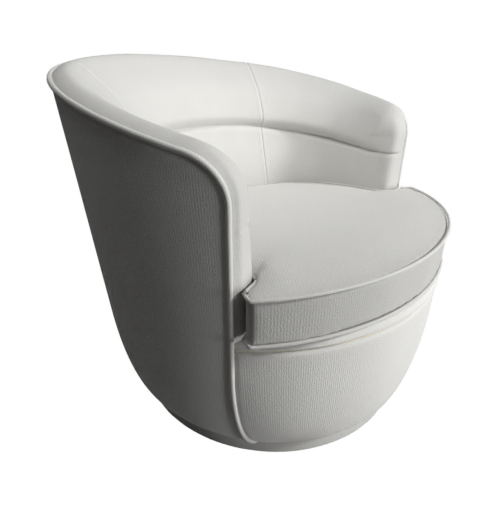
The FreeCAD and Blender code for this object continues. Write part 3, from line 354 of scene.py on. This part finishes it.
def outside_cover():
    columns, rows = 181, 60
    points, maps = [], []
    heights_done = []
    for j in range(columns):
        share = 2.0 * j / (columns - 1) - 1
        share = math.copysign(1 - (1 - abs(share)) ** 1.5, share)
        top = 0.6
        for repeat in range(12):
            turn = share * outside_turn(ARM_Y + 0.002, top)
            y = outside_point(turn, top).y
            top = 0.5 * top + 0.5 * (rim_height(y) - 0.001)
        heights_done.append(top)
    for i in range(rows):
        part = i / (rows - 1)
        for j in range(columns):
            share = 2.0 * j / (columns - 1) - 1
            share = math.copysign(1 - (1 - abs(share)) ** 1.5, share)
            top = heights_done[j]
            low = HEM_Z + HEM_LIFT
            height = low + (top - low) * (0.45 * part ** 1.9 + 0.55 * part)
            turn = share * outside_turn(ARM_Y + 0.002, height)
            spot = outside_point(turn, height)
            away = Vector((spot.x, spot.y, 0)).normalized()
            ripple = 0.0016 * noise.noise(Vector((spot.x * 7, spot.y * 7, spot.z * 3.5)))
            tuck = -0.0022 * math.exp(-((spot.y - ARM_Y) / 0.006) ** 2)
            tuck -= 0.0022 * math.exp(-((top - height) / 0.006) ** 2)
            tuck -= 0.0025 * math.exp(-((height - low) / 0.004) ** 2)
            points.append(spot + away * (ripple + tuck - 0.0006))
            maps.append((turn * 0.40, height))
    faces = [face[::-1] for face in grid_faces(rows, columns, 0)]
    piece = make_piece("outside_cover_cloth", points, faces, maps, outside_cloth, "chair")
    thicken(piece, CLOTH_DEPTH)
    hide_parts("outer_cover")
    return piece


outside_cover()


# Inside: the padded roll round the back and arms, the arm fronts and the lower inner wall.
# One grid of sections; a deep crease under the roll fades out towards the arm fronts.

INSIDE_Y = -0.020
INSIDE_FRONT = 0.352
SEAM_TURN = math.radians(43.5)
OVERHANG_BACK, OVERHANG_ARM = 0.007, 0.026


def inside_level(height):
    up = height - 0.385
    return 0.302 + 0.117 * up, 0.226 + 0.311 * up


def inside_point(turn, height):
    half_width, back = inside_level(height)
    depth = back if math.cos(turn) > 0 else INSIDE_FRONT
    return Vector((half_width * math.sin(turn), INSIDE_Y + depth * math.cos(turn), height))


def seam_height(y):
    return 0.518 + 0.163 * y


def curve_through(points, steps):
    """A smooth curve through points in the plane, sampled evenly in each span."""
    spots = [np.array(p) for p in points]
    first = 2 * spots[0] - spots[1]
    last = 2 * spots[-1] - spots[-2]
    ends = [first] + spots + [last]
    line = []
    for a, b, c, d in zip(ends, ends[1:], ends[2:], ends[3:]):
        for k in range(steps):
            t = k / steps
            bend = (2 * a - 5 * b + 4 * c - d) * t ** 2
            turn_back = (3 * b - a - 3 * c + d) * t ** 3
            line.append(0.5 * (2 * b + (c - a) * t + bend + turn_back))
    line.append(spots[-1])
    return np.array(line)


def resample(line, count):
    steps = np.linalg.norm(np.diff(line, axis=0), axis=1)
    along = np.concatenate([[0.0], np.cumsum(steps)])
    marks = np.linspace(0.0, along[-1], count)
    return np.stack([np.interp(marks, along, line[:, k]) for k in range(line.shape[1])], axis=1)


OVER_ROWS, FACE_ROWS, CREASE_ROWS, WALL_ROWS = 24, 20, 8, 16
WALL_LOW = 0.296


def section(share):
    """The points of one section, from the welt over the roll and down the inner wall."""
    rim = 0.6
    for repeat in range(10):
        turn = share * outside_turn(CORNER_Y, rim)
        rim = rim_height(outside_point(turn, rim).y)
    outer = outside_point(turn, rim)
    outer.z = 0
    inner_turn = share * math.acos((CORNER_Y - INSIDE_Y) / INSIDE_FRONT)
    seam = 0.518
    for repeat in range(10):
        inner = inside_point(inner_turn, seam)
        seam = seam_height(inner.y)
    inner.z = 0
    way = inner - outer
    length = way.length
    way.normalize()
    arm = min(abs(share) / 0.72, 1.0)
    fade = 1 - 0.35 * smooth(abs(share), 0.86, 1.0)
    overhang = (OVERHANG_BACK + (OVERHANG_ARM - OVERHANG_BACK) * smooth(arm, 0.35, 1.0)) * fade
    belly = seam + 0.030
    shoulder = 0.070
    shoulder_z = rim - 0.016
    profile = [
        (0.0022, rim + 0.0012),
        (0.014, rim + 0.0072),
        (0.036, rim + 0.0090),
        (shoulder, shoulder_z),
        (shoulder + 0.62 * (length + overhang - shoulder), shoulder_z - 0.46 * (shoulder_z - belly)),
        (length + overhang, belly),
        (length + 0.62 * overhang, seam + 0.0085),
        (length + 0.12 * overhang - 0.003, seam + 0.0012),
    ]
    line = curve_through(profile, 14)
    split_z = rim - ARM_CORNER
    below = [k for k in range(len(line)) if line[k][1] < split_z and line[k][0] > 0.03][0]
    share_there = (line[below - 1][1] - split_z) / (line[below - 1][1] - line[below][1])
    split = line[below - 1] + share_there * (line[below] - line[below - 1])
    over = resample(np.vstack([line[:below], split]), OVER_ROWS)
    face = resample(np.vstack([split, line[below:]]), FACE_ROWS)
    flat = np.vstack([over, face[1:]])
    points = [outer + way * inward + Vector((0, 0, up)) for inward, up in flat]
    puff = 0.0045
    for k in range(1, CREASE_ROWS + 1):
        part = k / CREASE_ROWS
        height = seam - 0.0008 - 0.022 * part ** 1.5
        wall = inside_point(inner_turn, height)
        away = Vector((wall.x, wall.y - INSIDE_Y, 0)).normalized()
        sunk = 0.006 * (1 - part) ** 3 - puff * smooth(part, 0.0, 0.8)
        points.append(wall + away * sunk)
    last = points[-1].z
    for k in range(1, WALL_ROWS + 1):
        height = last + (WALL_LOW - last) * k / WALL_ROWS
        wall = inside_point(inner_turn, height)
        away = Vector((wall.x, wall.y - INSIDE_Y, 0)).normalized()
        points.append(wall - away * puff * smooth(1 - k / WALL_ROWS, 0.0, 0.9))
    return points


def inside_shares():
    """Shares along the rim, closer together at the two upright seams."""
    seam = SEAM_TURN / outside_turn(CORNER_Y, 0.6)
    shares = set(round(k / 80, 5) for k in range(-80, 81))
    for side in (-1, 1):
        shares = set(s for s in shares if abs(s - side * seam) > 0.012)
        shares |= set(round(side * seam + 0.0024 * k, 5) for k in range(-4, 5))
    return sorted(shares), seam


def inside_skin():
    shares, seam_share = inside_shares()
    columns = [section(share) for share in shares]
    rows = len(columns[0])
    split_row = OVER_ROWS - 1
    points, maps, faces = [], [], []
    for i in range(rows):
        for share, column in zip(shares, columns):
            here = column[i]
            before = column[max(i - 1, 0)]
            after = column[min(i + 1, rows - 1)]
            down = (after - before).normalized()
            round_way = Vector((math.cos(share * 1.85), -math.sin(share * 1.85), 0))
            out = down.cross(round_way).normalized()
            spot = here.copy()
            for side in (-1, 1):
                gap = (share - side * seam_share) * 0.72
                spot -= out * 0.0016 * math.exp(-(gap / 0.0021) ** 2)
                for beside in (-0.006, 0.006):
                    spot += out * 0.0007 * math.exp(-((gap + beside) / 0.004) ** 2)
            swell = 0.0022 * noise.noise(Vector((here.x * 9, here.y * 9, here.z * 9)))
            points.append(spot + out * swell)
    arcs = [lengths_along(column) for column in columns]
    for i in range(rows):
        for share, arc in zip(shares, arcs):
            maps.append((share * 0.62, arc[split_row] - arc[i]))
    faces += [face for face in grid_faces(rows, len(shares), 0)]
    across = len(shares)
    for side in (-1, 1):
        end = [points[i * across + (0 if side < 0 else across - 1)] for i in range(rows)]
        add_arm_front(points, maps, faces, end, side, split_row)
    piece = make_piece("inside_cloth_painted_shade", points, faces, maps, inside_cloth_painted_shade, "chair")
    work = bmesh.new()
    work.from_mesh(piece.data)
    bmesh.ops.recalc_face_normals(work, faces=work.faces)
    if sum(face.normal.z * face.calc_area() for face in work.faces) < 0:
        bmesh.ops.reverse_faces(work, faces=work.faces)
    work.to_mesh(piece.data)
    work.free()
    thicken(piece, 0.0020)
    subdivide = piece.modifiers.new("Smooth", "SUBSURF")
    subdivide.levels = 1
    subdivide.render_levels = 1
    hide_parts("roll_cover", "inner_cover", "roll_pad", "inner_pad", "top_rail_pad")
    return piece


FRONT_BULGE = 0.0055
INNER_BEND = 0.030


def front_line(height, inner_end, side):
    """Level line from the welt across an arm's front, round its inner corner and back to the end section."""
    welt_x = outside_x(ARM_Y, height)
    inner_x = abs(inner_end.x)
    turns = [math.acos((y - INSIDE_Y) / INSIDE_FRONT) for y in (CORNER_Y, ARM_Y + INNER_BEND)]
    lower = [abs(inside_point(turn, height).x) for turn in turns]
    shift = lower[0] - lower[1]
    fade_to = inner_x - shift
    fade_to += (lower[0] - 0.004 - inner_x) * 0.9 if inner_x < lower[0] - 0.004 else 0.0
    bend_x = min(fade_to, welt_x - 0.012)
    start = (welt_x - 0.0022, ARM_Y + 0.0012)
    profile = [start, (welt_x - 0.012, ARM_Y - 0.6 * FRONT_BULGE)]
    half_way = 0.5 * (welt_x + bend_x + 0.6 * INNER_BEND)
    profile.append((half_way, ARM_Y - FRONT_BULGE))
    profile.append((bend_x + 0.30 * INNER_BEND, ARM_Y + 0.30 * INNER_BEND - 0.004))
    profile.append((bend_x + 0.02 * INNER_BEND, ARM_Y + INNER_BEND))
    profile.append((0.5 * (bend_x + inner_x), 0.5 * (ARM_Y + INNER_BEND + CORNER_Y)))
    profile.append((inner_x, CORNER_Y))
    line = resample(curve_through(profile, 12), OVER_ROWS)
    return [Vector((side * x, y, height)) for x, y in line]


def add_arm_front(points, maps, faces, end, side, split_row):
    """The arm's front face below its corner, and the fan of sections round the corner."""
    u_end = side * 0.62
    below = end[split_row:]
    down = lengths_along(below)
    start = len(points)
    lines = [front_line(spot.z, spot, side) for spot in below]
    last = OVER_ROWS - 1
    for line, spot_behind, drop in zip(lines, below, down):
        arc = lengths_along(line)
        line[-1] = spot_behind.copy()
        for k, spot in enumerate(line):
            swell = 0.0022 * noise.noise(spot * 9)
            points.append(spot + Vector((0, -swell * (1 - k / last), 0)))
            maps.append((u_end + side * (arc[-1] - arc[k]), -drop))
    patch = grid_faces(len(lines), OVER_ROWS, start)
    faces += patch if side > 0 else [face[::-1] for face in patch]
    top, front = end[:split_row + 1], points[start:start + OVER_ROWS]
    top_arc, front_arc = lengths_along(top), lengths_along(front)
    rays = 17
    start = len(points)
    for ray in range(rays):
        share = ray / (rays - 1)
        angle = 0.5 * math.pi * (1 + share)
        blend = share * share * (3 - 2 * share)
        edge = ARM_CORNER / math.cos(RIM_START - angle) if angle < RIM_START else ARM_CORNER
        edge_y = CORNER_Y + edge * math.cos(angle)
        edge_z = CORNER_Z + edge * math.sin(angle)
        edge_x = outside_x(edge_y, edge_z)
        for k in range(OVER_ROWS):
            drop_top = end[0].z - 0.0012 - top[k].z
            drop_front = front[k].y - ARM_Y
            radius = edge - ((1 - blend) * drop_top + blend * drop_front)
            inward_top = abs(top[0].x) + 0.0022 - abs(top[k].x)
            inward_front = abs(front[0].x) + 0.0022 - abs(front[k].x)
            inward = (1 - blend) * inward_top + blend * inward_front
            near_centre = k / (OVER_ROWS - 1)
            x = edge_x - inward
            x_centre = abs(top[-1].x)
            x += (x_centre - (edge_x - inward)) * smooth(near_centre, 0.75, 1.0) if k > 0 else 0.0
            y = CORNER_Y + radius * math.cos(angle)
            spot = Vector((side * x, y, CORNER_Z + radius * math.sin(angle)))
            if ray == 0 or k == last:
                spot = top[k]
            if ray == rays - 1:
                spot = front[k]
            points.append(spot.copy())
            rest = (1 - blend) * (top_arc[-1] - top_arc[k]) + blend * (front_arc[-1] - front_arc[k])
            maps.append((u_end - side * rest * math.cos(angle), rest * math.sin(angle)))
    fan = grid_faces(rays, OVER_ROWS, start)
    faces += [face[::-1] for face in fan] if side > 0 else fan


inside_skin()


# Welt along the rim and down both arm fronts: a cloth-covered cord with its stitched groove.

def welt_route():
    half = []
    for k in range(40):
        height = HEM_Z + 0.004 + (CORNER_Z - HEM_Z - 0.004) * (k / 40) ** 1.25
        half.append((ARM_Y, height))
    for k in range(14):
        angle = math.pi + (RIM_START - math.pi) * k / 14
        half.append((CORNER_Y + ARM_CORNER * math.cos(angle), CORNER_Z + ARM_CORNER * math.sin(angle)))
    back_y = sum(barrel(0.715)[1:])
    for k in range(71):
        y = TOUCH_Y + (back_y - TOUCH_Y) * math.sin(0.5 * math.pi * k / 70)
        half.append((y, rim_height(y)))
    points = [Vector((outside_x(y, z), y, z)) for y, z in half]
    mirrored = [Vector((-p.x, p.y, p.z)) for p in points[:-1]]
    return mirrored + points[::-1]


def tube(name, route, radius, closed, material, body, sides=12, waver=0.0, lift=0.0):
    """A round cord of cloth along a route of points."""
    count = len(route)
    points, maps = [], []
    along_total = 0.0
    rings = count + 1 if closed else count
    for k in range(rings):
        point = route[k % count]
        before = route[(k - 1) % count] if closed or k > 0 else point
        after = route[(k + 1) % count] if closed or k < count - 1 else point
        along = (after - before).normalized()
        out = Vector((point.x, point.y, 0)).normalized()
        second = along.cross(out).normalized()
        first = second.cross(along).normalized()
        here = radius * (1 + waver * noise.noise(point * 60))
        centre = point + first * lift
        for n in range(sides + 1):
            angle = 2 * math.pi * n / sides
            points.append(centre + first * (here * math.cos(angle)) + second * (here * math.sin(angle)))
            maps.append((along_total, radius * angle))
        along_total += (route[(k + 1) % count] - point).length
    faces = grid_faces(rings, sides + 1, 0)
    if not closed:
        faces.append(tuple(range(sides))[::-1])
        faces.append(tuple((rings - 1) * (sides + 1) + n for n in range(sides)))
    piece = make_piece(name, points, faces, maps, material, body)
    work = bmesh.new()
    work.from_mesh(piece.data)
    bmesh.ops.recalc_face_normals(work, faces=work.faces)
    work.to_mesh(piece.data)
    work.free()
    return piece


rim_cord = tube("rim_welt_cord", welt_route(), 0.0046, False, welt_cloth, "chair", 12, 0.10, -0.0004)
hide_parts("rim_welt")


# Front of the seat: the cover below the seam, bulged by its pad, and the band over the deck's edge.

def front_cover():
    columns, rows = 121, 44
    points, maps = [], []
    low = HEM_Z + HEM_LIFT
    for i in range(rows):
        part = i / (rows - 1)
        height = low + (FRONT_SEAM_Z - 0.0012 - low) * (0.4 * part ** 1.9 + 0.6 * part)
        for j in range(columns):
            share = 2.0 * j / (columns - 1) - 1
            share = math.copysign(1 - (1 - abs(share)) ** 1.35, share)
            edge = math.pi - outside_turn(ARM_Y - 0.002, height)
            turn = math.pi - share * edge
            spot = outside_point(turn, height)
            away = Vector((spot.x, spot.y, 0)).normalized()
            side = 1 - abs(share)
            push = 0.0015 * noise.noise(Vector((spot.x * 8 + 4, spot.y * 8, spot.z * 5)))
            push -= 0.0030 * math.exp(-(side / 0.012) ** 2)
            push -= 0.0022 * math.exp(-((FRONT_SEAM_Z - height) / 0.0045) ** 2)
            push -= 0.0025 * math.exp(-((height - low) / 0.004) ** 2)
            points.append(spot + away * push)
            maps.append((turn * 0.38, height))
    faces = grid_faces(rows, columns, 0)
    piece = make_piece("front_cover_cloth", points, faces, maps, front_cloth_painted_light, "chair")
    thicken(piece, CLOTH_DEPTH)
    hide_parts("front_cover")


DECK_SLOPE = 0.05
DECK_Y = -0.330


def deck_height(y):
    return 0.326 - DECK_SLOPE * (y - DECK_Y)


def front_band():
    columns = 121
    points, maps = [], []
    lines = []
    for j in range(columns):
        share = 2.0 * j / (columns - 1) - 1
        share = math.copysign(1 - (1 - abs(share)) ** 1.35, share)
        turn = math.pi - share * (math.pi - outside_turn(ARM_Y - 0.002, 0.315))
        edge = outside_point(turn, 0.31)
        top = deck_height(edge.y) + 0.0015
        half = 0.5 * (top - FRONT_SEAM_Z)
        profile = [(-0.0022, FRONT_SEAM_Z + 0.0006), (0.0014, FRONT_SEAM_Z + 0.0048)]
        profile.append((0.0010, FRONT_SEAM_Z + half))
        bend = 0.010
        for k in range(1, 6):
            angle = 0.5 * math.pi * k / 5
            profile.append((-bend + (bend + 0.0006) * math.cos(angle), top - bend + bend * math.sin(angle)))
        profile += [(-0.026, top - 0.0002), (-0.046, top - 0.001)]
        line = resample(curve_through(profile, 8), 30)
        away = Vector((edge.x, edge.y, 0)).normalized()
        swell = 0.0012 * noise.noise(Vector((edge.x * 14, edge.y * 14, 3.0)))
        lines.append([Vector((edge.x, edge.y, 0)) + away * (a + swell) + Vector((0, 0, z)) for a, z in line])
    for i in range(30):
        for j in range(columns):
            points.append(lines[j][i])
            maps.append(((1 - 2.0 * j / (columns - 1)) * 0.5, 0.002 * i))
    faces = grid_faces(30, columns, 0)
    piece = make_piece("front_band_cloth", points, faces, maps, front_cloth_painted_light, "chair")
    thicken(piece, CLOTH_DEPTH)
    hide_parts("front_band")


front_cover()
front_band()


# Seat deck under the cushion: plain lining over a thin pad, pulled down along its edge.

def deck_cloth():
    rings, turns = 26, 96
    points, maps = [], []
    for i in range(rings):
        part = i / (rings - 1)
        for j in range(turns):
            turn = 2 * math.pi * j / turns
            half_width, half_depth, centre_y = barrel(0.31)
            x = (half_width - 0.0505) * part * math.sin(turn)
            y = centre_y + (half_depth - 0.0505) * part * math.cos(turn)
            sag = 0.0004 * noise.noise(Vector((x * 10, y * 10, 0))) - 0.0005 * smooth(part, 0.93, 1.0)
            points.append(Vector((x, y, deck_height(y) + sag)))
            maps.append((x, y))
    faces = [face[::-1] for face in grid_faces(rings, turns, 0, True)]
    piece = make_piece("deck_lining_cloth", points, faces, maps, finishes["lining"], "chair")
    thicken(piece, 0.0015)
    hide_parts("deck_cover")


deck_cloth()


# Plinth: a band of the same cloth, darkened as painted shade, pulled over the ring and lapped under it.

def plinth_band():
    columns = 144
    profile = [(0.300, 0.0016), (0.312, 0.0015), (0.3152, 0.0030), (0.3160, 0.0065)]
    profile += [(0.3163, 0.015), (0.3162, 0.025), (0.3160, 0.036), (0.3153, 0.0425)]
    profile += [(0.3125, 0.0448), (0.300, 0.0455)]
    line = resample(curve_through(profile, 6), 28)
    points, maps = [], []
    for radius, height in line:
        for j in range(columns):
            turn = 2 * math.pi * j / columns
            fold = 0.0007 * noise.noise(Vector((math.sin(turn) * 9, math.cos(turn) * 9, height * 8)))
            here = radius + fold
            points.append(Vector((here * math.sin(turn), here * math.cos(turn), height)))
            maps.append((turn * 0.316, height))
    faces = [face[::-1] for face in grid_faces(len(line), columns, 0, True)]
    piece = make_piece("plinth_band_cloth", points, faces, maps, plinth_cloth_painted_shade, "base")
    thicken(piece, 0.0015)
    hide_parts("plinth_cover")


plinth_band()


# Loose seat cushion: a T-shaped, crowned cushion that fills the seat between the arms.
# Its closed body is swollen by cloth pressure with the two seam lines held.

CUSHION_LOW, CUSHION_HIGH = 0.3384, 0.4165
CUSHION_SLOPE = DECK_SLOPE
WING = 0.352
TONGUE_CLEAR = 0.004
TONGUE_BACK_Y = 0.198
BACK_POWER = 2.5
CUSHION_MIDDLE = Vector((0, -0.08, 0))


def cushion_height(level, y):
    return level - CUSHION_SLOPE * (y + 0.33)


def front_y(x):
    return 0.032 - 0.392 * math.sqrt(1 - (x / 0.438) ** 2)


def cushion_plan():
    """Closed plan of the cushion's seam line, anticlockwise from the right-hand wing."""
    half = []
    steps = 34
    for k in range(steps):
        x = WING * math.sin(0.5 * math.pi * k / steps)
        half.append((x, front_y(x)))
    tip_y = front_y(WING)
    half += [(WING, tip_y), (WING - 0.003, tip_y + 0.006)]
    half += [(WING - 0.012, ARM_Y - 0.016), (0.330, ARM_Y - 0.0135)]
    half += [(0.316, ARM_Y - 0.012), (0.304, ARM_Y - 0.0105), (0.2955, ARM_Y - 0.006), (0.290, ARM_Y + 0.004)]
    for k in range(1, 40):
        y = ARM_Y + 0.016 + (TONGUE_BACK_Y - ARM_Y - 0.016) * math.sin(0.5 * math.pi * k / 39)
        reach = INSIDE_FRONT if y < INSIDE_Y else 0.222
        near = inside_point(math.acos(max(-1, min(1, (y - INSIDE_Y) / reach))), 0.385)
        x = (abs(near.x) - TONGUE_CLEAR)
        if y > INSIDE_Y:
            back_share = (y - INSIDE_Y) / (TONGUE_BACK_Y - INSIDE_Y)
            x = (0.302 - TONGUE_CLEAR) * max(0.0, 1 - back_share ** BACK_POWER) ** (1 / BACK_POWER)
        half.append((x, y))
    other = [(-x, y) for x, y in half[:0:-1]]
    return [Vector((x, y, 0)) for x, y in half[:-1] + [(0.0, TONGUE_BACK_Y)] + other[1:]]


PLAN = cushion_plan()


def cushion_body():
    """The closed mesh that is swollen: two flat panels and an upright boxing."""
    count = len(PLAN)
    centre = CUSHION_MIDDLE
    points, faces = [], []
    inward = [0.0, 0.012, 0.03, 0.06, 0.1, 0.16, 0.24, 0.34, 0.46, 0.6, 0.76, 0.9]
    rings = []
    for share in inward[::-1]:
        level = CUSHION_LOW - 0.004 * min(1.0, share * 4)
        rings.append([(centre + (p - centre) * (1 - share), level) for p in PLAN])
    for k in range(1, 10):
        level = CUSHION_LOW + (CUSHION_HIGH - CUSHION_LOW) * k / 10
        rings.append([(p, level) for p in PLAN])
    for share in inward:
        level = CUSHION_HIGH + 0.010 * min(1.0, share * 4)
        rings.append([(centre + (p - centre) * (1 - share), level) for p in PLAN])
    for ring in rings:
        for spot, level in ring:
            points.append(Vector((spot.x, spot.y, cushion_height(level, spot.y))))
    faces = grid_faces(len(rings), count, 0, True)
    for start, turned in ((0, True), ((len(rings) - 1) * count, False)):
        points.append(sum((points[start + k] for k in range(count)), Vector()) / count)
        middle = len(points) - 1
        for k in range(count):
            face = (start + k, start + (k + 1) % count, middle)
            faces.append(face[::-1] if turned else face)
    return points, faces


def swollen_cushion():
    points, faces = cushion_body()
    mesh = bpy.data.meshes.new("cushion_start")
    mesh.from_pydata([tuple(p) for p in points], [], faces)
    work = bmesh.new()
    work.from_mesh(mesh)
    bmesh.ops.recalc_face_normals(work, faces=work.faces)
    work.to_mesh(mesh)
    work.free()
    body = bpy.data.objects.new("cushion_cloth_body", mesh)
    bpy.context.scene.collection.objects.link(body)
    bpy.context.view_layer.objects.active = body
    remesh = body.modifiers.new("Voxels", "REMESH")
    remesh.mode = "VOXEL"
    remesh.voxel_size = 0.006
    settled = apply_modifiers(body)
    start = np.zeros(len(settled.vertices) * 3)
    settled.vertices.foreach_get("co", start)
    start = start.reshape(-1, 3)
    seams = []
    for level in (CUSHION_LOW, CUSHION_HIGH):
        seams += [(p.x, p.y, cushion_height(level, p.y)) for p in dense(PLAN, 3)]
    seams = np.array(seams)
    near = np.array([np.min(np.sum((seams - spot) ** 2, axis=1)) for spot in start])
    pinned = body.vertex_groups.new(name="seams")
    for index in np.nonzero(near < 0.0052 ** 2)[0]:
        pinned.add([int(index)], 1.0, "REPLACE")
    cloth = body.modifiers.new("Swell", "CLOTH")
    cloth.settings.quality = 6
    cloth.settings.mass = 0.3
    cloth.settings.use_pressure = True
    cloth.settings.uniform_pressure_force = 4.0
    cloth.settings.tension_stiffness = 15
    cloth.settings.compression_stiffness = 8
    cloth.settings.bending_stiffness = 0.6
    cloth.settings.vertex_group_mass = "seams"
    cloth.settings.effector_weights.gravity = 0.0
    cloth.point_cache.frame_start = 1
    cloth.point_cache.frame_end = 20
    scene = bpy.context.scene
    for step in range(1, 21):
        scene.frame_set(step)
    apply_modifiers(body)
    scene.frame_set(1)
    return body, start


def dense(route, times):
    spots = []
    for before, after in zip(route, route[1:] + route[:1]):
        for k in range(times):
            spots.append(before + (after - before) * (k / times))
    return spots


def apply_modifiers(piece):
    """Puts the result of a piece's modifiers in its mesh and removes them."""
    graph = bpy.context.evaluated_depsgraph_get()
    done = bpy.data.meshes.new_from_object(piece.evaluated_get(graph))
    piece.modifiers.clear()
    piece.data = done
    return done


def limit_and_shape(body, start):
    """Caps the swelling and rests the underside on the deck."""
    mesh = body.data
    spots = np.zeros(len(mesh.vertices) * 3)
    mesh.vertices.foreach_get("co", spots)
    spots = spots.reshape(-1, 3)
    if len(spots) == len(start):
        moved = spots - start
        far = np.linalg.norm(moved, axis=1)
        upward = start[:, 2] - (CUSHION_HIGH - CUSHION_SLOPE * (start[:, 1] + 0.33))
        cap = np.where(upward > -0.004, 0.016, 0.010)
        scale = np.where(far > cap, cap / np.maximum(far, 1e-9), 1.0)
        spots = start + moved * scale[:, None]
    floor = 0.3268 - CUSHION_SLOPE * (spots[:, 1] - DECK_Y)
    spots[:, 2] = np.maximum(spots[:, 2], floor)
    mesh.vertices.foreach_set("co", spots.ravel())
    mesh.update()


cushion, cushion_start = swollen_cushion()
limit_and_shape(cushion, cushion_start)


def finish_cushion(piece):
    """Map and materials: top and bottom panels in diagonal weave, boxing in upright rib in a darker copy of
    the cloth that is painted shade.
    """
    mesh = piece.data
    mesh.materials.clear()
    mesh.materials.append(cushion_cloth)
    mesh.materials.append(boxing_cloth_painted_shade)
    layer = mesh.uv_layers.new(name="UVMap")
    for face in mesh.polygons:
        spot = face.center
        level = spot.z + CUSHION_SLOPE * (spot.y + 0.33)
        side = CUSHION_LOW + 0.001 < level < CUSHION_HIGH - 0.0005 and abs(face.normal.z) < 0.75
        face.material_index = 1 if side else 0
        for loop in face.loop_indices:
            point = mesh.vertices[mesh.loops[loop].vertex_index].co
            if side:
                layer.data[loop].uv = (math.atan2(point.x, point.y + 0.08 - 1e-6) * 0.33, point.z)
            else:
                layer.data[loop].uv = (point.x, point.y)
    mesh.transform(Matrix.Translation(TO_ORIGIN))
    mesh.polygons.foreach_set("use_smooth", [True] * len(mesh.polygons))
    subdivide = piece.modifiers.new("Smooth", "SUBSURF")
    subdivide.levels = 1
    subdivide.render_levels = 1
    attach(piece, "seat_cushion")
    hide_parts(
        "cushion_core", "cushion_top_panel", "cushion_bottom_panel",
        "cushion_boxing", "cushion_zip_panel",
    )


finish_cushion(cushion)


def cushion_welt(name, level, node):
    spots = dense(PLAN, 2)
    route = []
    for k, spot in enumerate(spots):
        before, after = spots[k - 1], spots[(k + 1) % len(spots)]
        along = (after - before).normalized()
        out = Vector((along.y, -along.x, 0))
        place = spot + out * 0.0016
        route.append(Vector((place.x, place.y, cushion_height(level, place.y))))
    piece = tube(name, route, 0.0030, True, welt_cloth, "seat_cushion", 10, 0.12)
    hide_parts(node)


cushion_welt("cushion_top_cord", CUSHION_HIGH, "cushion_top_welt")
cushion_welt("cushion_bottom_cord", CUSHION_LOW, "cushion_bottom_welt")


# Zip along the back of the boxing: woven tape with two rows of coil teeth.

def zip_line():
    mesh_points, faces, maps = [], [], []
    line = [p for p in dense(PLAN, 2) if p.y > 0.1 and abs(p.x) < 0.19]
    line.sort(key=lambda p: p.x)
    rows = (-0.010, -0.0035, -0.001, 0.001, 0.0035, 0.010)
    tops = (0.0, 0.0004, 0.0016, 0.0016, 0.0004, 0.0)
    for up, out in zip(rows, tops):
        for spot in line:
            height = cushion_height(0.5 * (CUSHION_LOW + CUSHION_HIGH) + up, spot.y)
            mesh_points.append(Vector((spot.x, spot.y + 0.0108 + out, height)))
            maps.append((spot.x, up))
    faces = [face[::-1] for face in grid_faces(len(rows), len(line), 0)]
    tape = finishes["zip_nylon"]
    piece = make_piece("cushion_zip_tape", mesh_points, faces, maps, tape, "seat_cushion")
    thicken(piece, 0.0008)
    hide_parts("cushion_zip")


zip_line()


# Stage: a pale floor that the camera sees as white, keeping a soft shadow, and plain studio light.

def make_stage():
    bpy.ops.mesh.primitive_plane_add(size=14.0, location=(0, 0, 0))
    floor = bpy.context.object
    floor.name = "stage_floor"
    material = bpy.data.materials.new("stage_white")
    material.use_nodes = True
    tree = material.node_tree
    tree.nodes.remove(tree.nodes["Principled BSDF"])
    output = tree.nodes["Material Output"]
    diffuse = add_node(tree, "ShaderNodeBsdfDiffuse", Color=(0.20, 0.20, 0.20, 1.0))
    white = add_node(tree, "ShaderNodeEmission", Color=(1.0, 1.0, 1.0, 1.0), Strength=1.0)
    path = add_node(tree, "ShaderNodeLightPath")
    seen = math_node(tree, "MAXIMUM", path.outputs["Is Camera Ray"], path.outputs["Is Glossy Ray"])
    seen = math_node(tree, "MAXIMUM", seen, path.outputs["Is Transmission Ray"])
    mix = add_node(tree, "ShaderNodeMixShader")
    tree.links.new(seen, mix.inputs["Fac"])
    tree.links.new(diffuse.outputs[0], mix.inputs[1])
    tree.links.new(white.outputs[0], mix.inputs[2])
    tree.links.new(mix.outputs[0], output.inputs["Surface"])
    floor.data.materials.append(material)
    world = bpy.data.worlds.new("studio")
    bpy.context.scene.world = world
    world.use_nodes = True
    sky = world.node_tree
    background = sky.nodes["Background"]
    path = add_node(sky, "ShaderNodeLightPath")
    seen = math_node(sky, "MAXIMUM", path.outputs["Is Camera Ray"], path.outputs["Is Glossy Ray"])
    seen = math_node(sky, "MAXIMUM", seen, path.outputs["Is Transmission Ray"])
    colour = mixed(sky, seen, (0.05, 0.049, 0.047, 1.0), (1.0, 1.0, 1.0, 1.0))
    sky.links.new(colour, background.inputs["Color"])


def area_light(name, place, aim, size, power):
    light = bpy.data.lights.new(name, "AREA")
    light.shape = "DISK"
    light.size = size
    light.energy = power
    lamp = bpy.data.objects.new(name, light)
    lamp.location = Vector(place) + TO_ORIGIN
    lamp.rotation_euler = (Vector(aim) - Vector(place)).to_track_quat("-Z", "Y").to_euler()
    bpy.context.scene.collection.objects.link(lamp)
    lamp.visible_camera = False
    return lamp


make_stage()
KEY_WAY = Vector((0.28, -0.77, 0.57))
KEY_DISTANCE = 3.6
area_light("key", KEY_WAY * KEY_DISTANCE, (0, 0, 0.35), 0.7, 80.0)
overhead = area_light("overhead", (-0.40, 0.02, 1.38), (0.33, 0.05, 0.50), 0.4, 2.0)
overhead.data.spread = math.radians(100)
area_light("low_front", (0.20, -3.0, 0.42), (0, 0, 0.25), 0.8, 34.0)


# Camera at the photograph's place, for its 489 by 510 frame.

def make_camera():
    data = bpy.data.cameras.new("photo_camera")
    data.lens = 28.24
    data.sensor_width = 36.0
    data.sensor_fit = "AUTO"
    camera = bpy.data.objects.new("photo_camera", data)
    place = Vector((-0.7279, -0.4786, 0.7024))
    target = Vector((-0.0383, 0.0499, 0.2892))
    camera.location = place + TO_ORIGIN
    camera.rotation_euler = (target - place).to_track_quat("-Z", "Y").to_euler()
    bpy.context.scene.collection.objects.link(camera)
    bpy.context.scene.camera = camera


make_camera()
bpy.context.scene.view_settings.view_transform = "Standard"
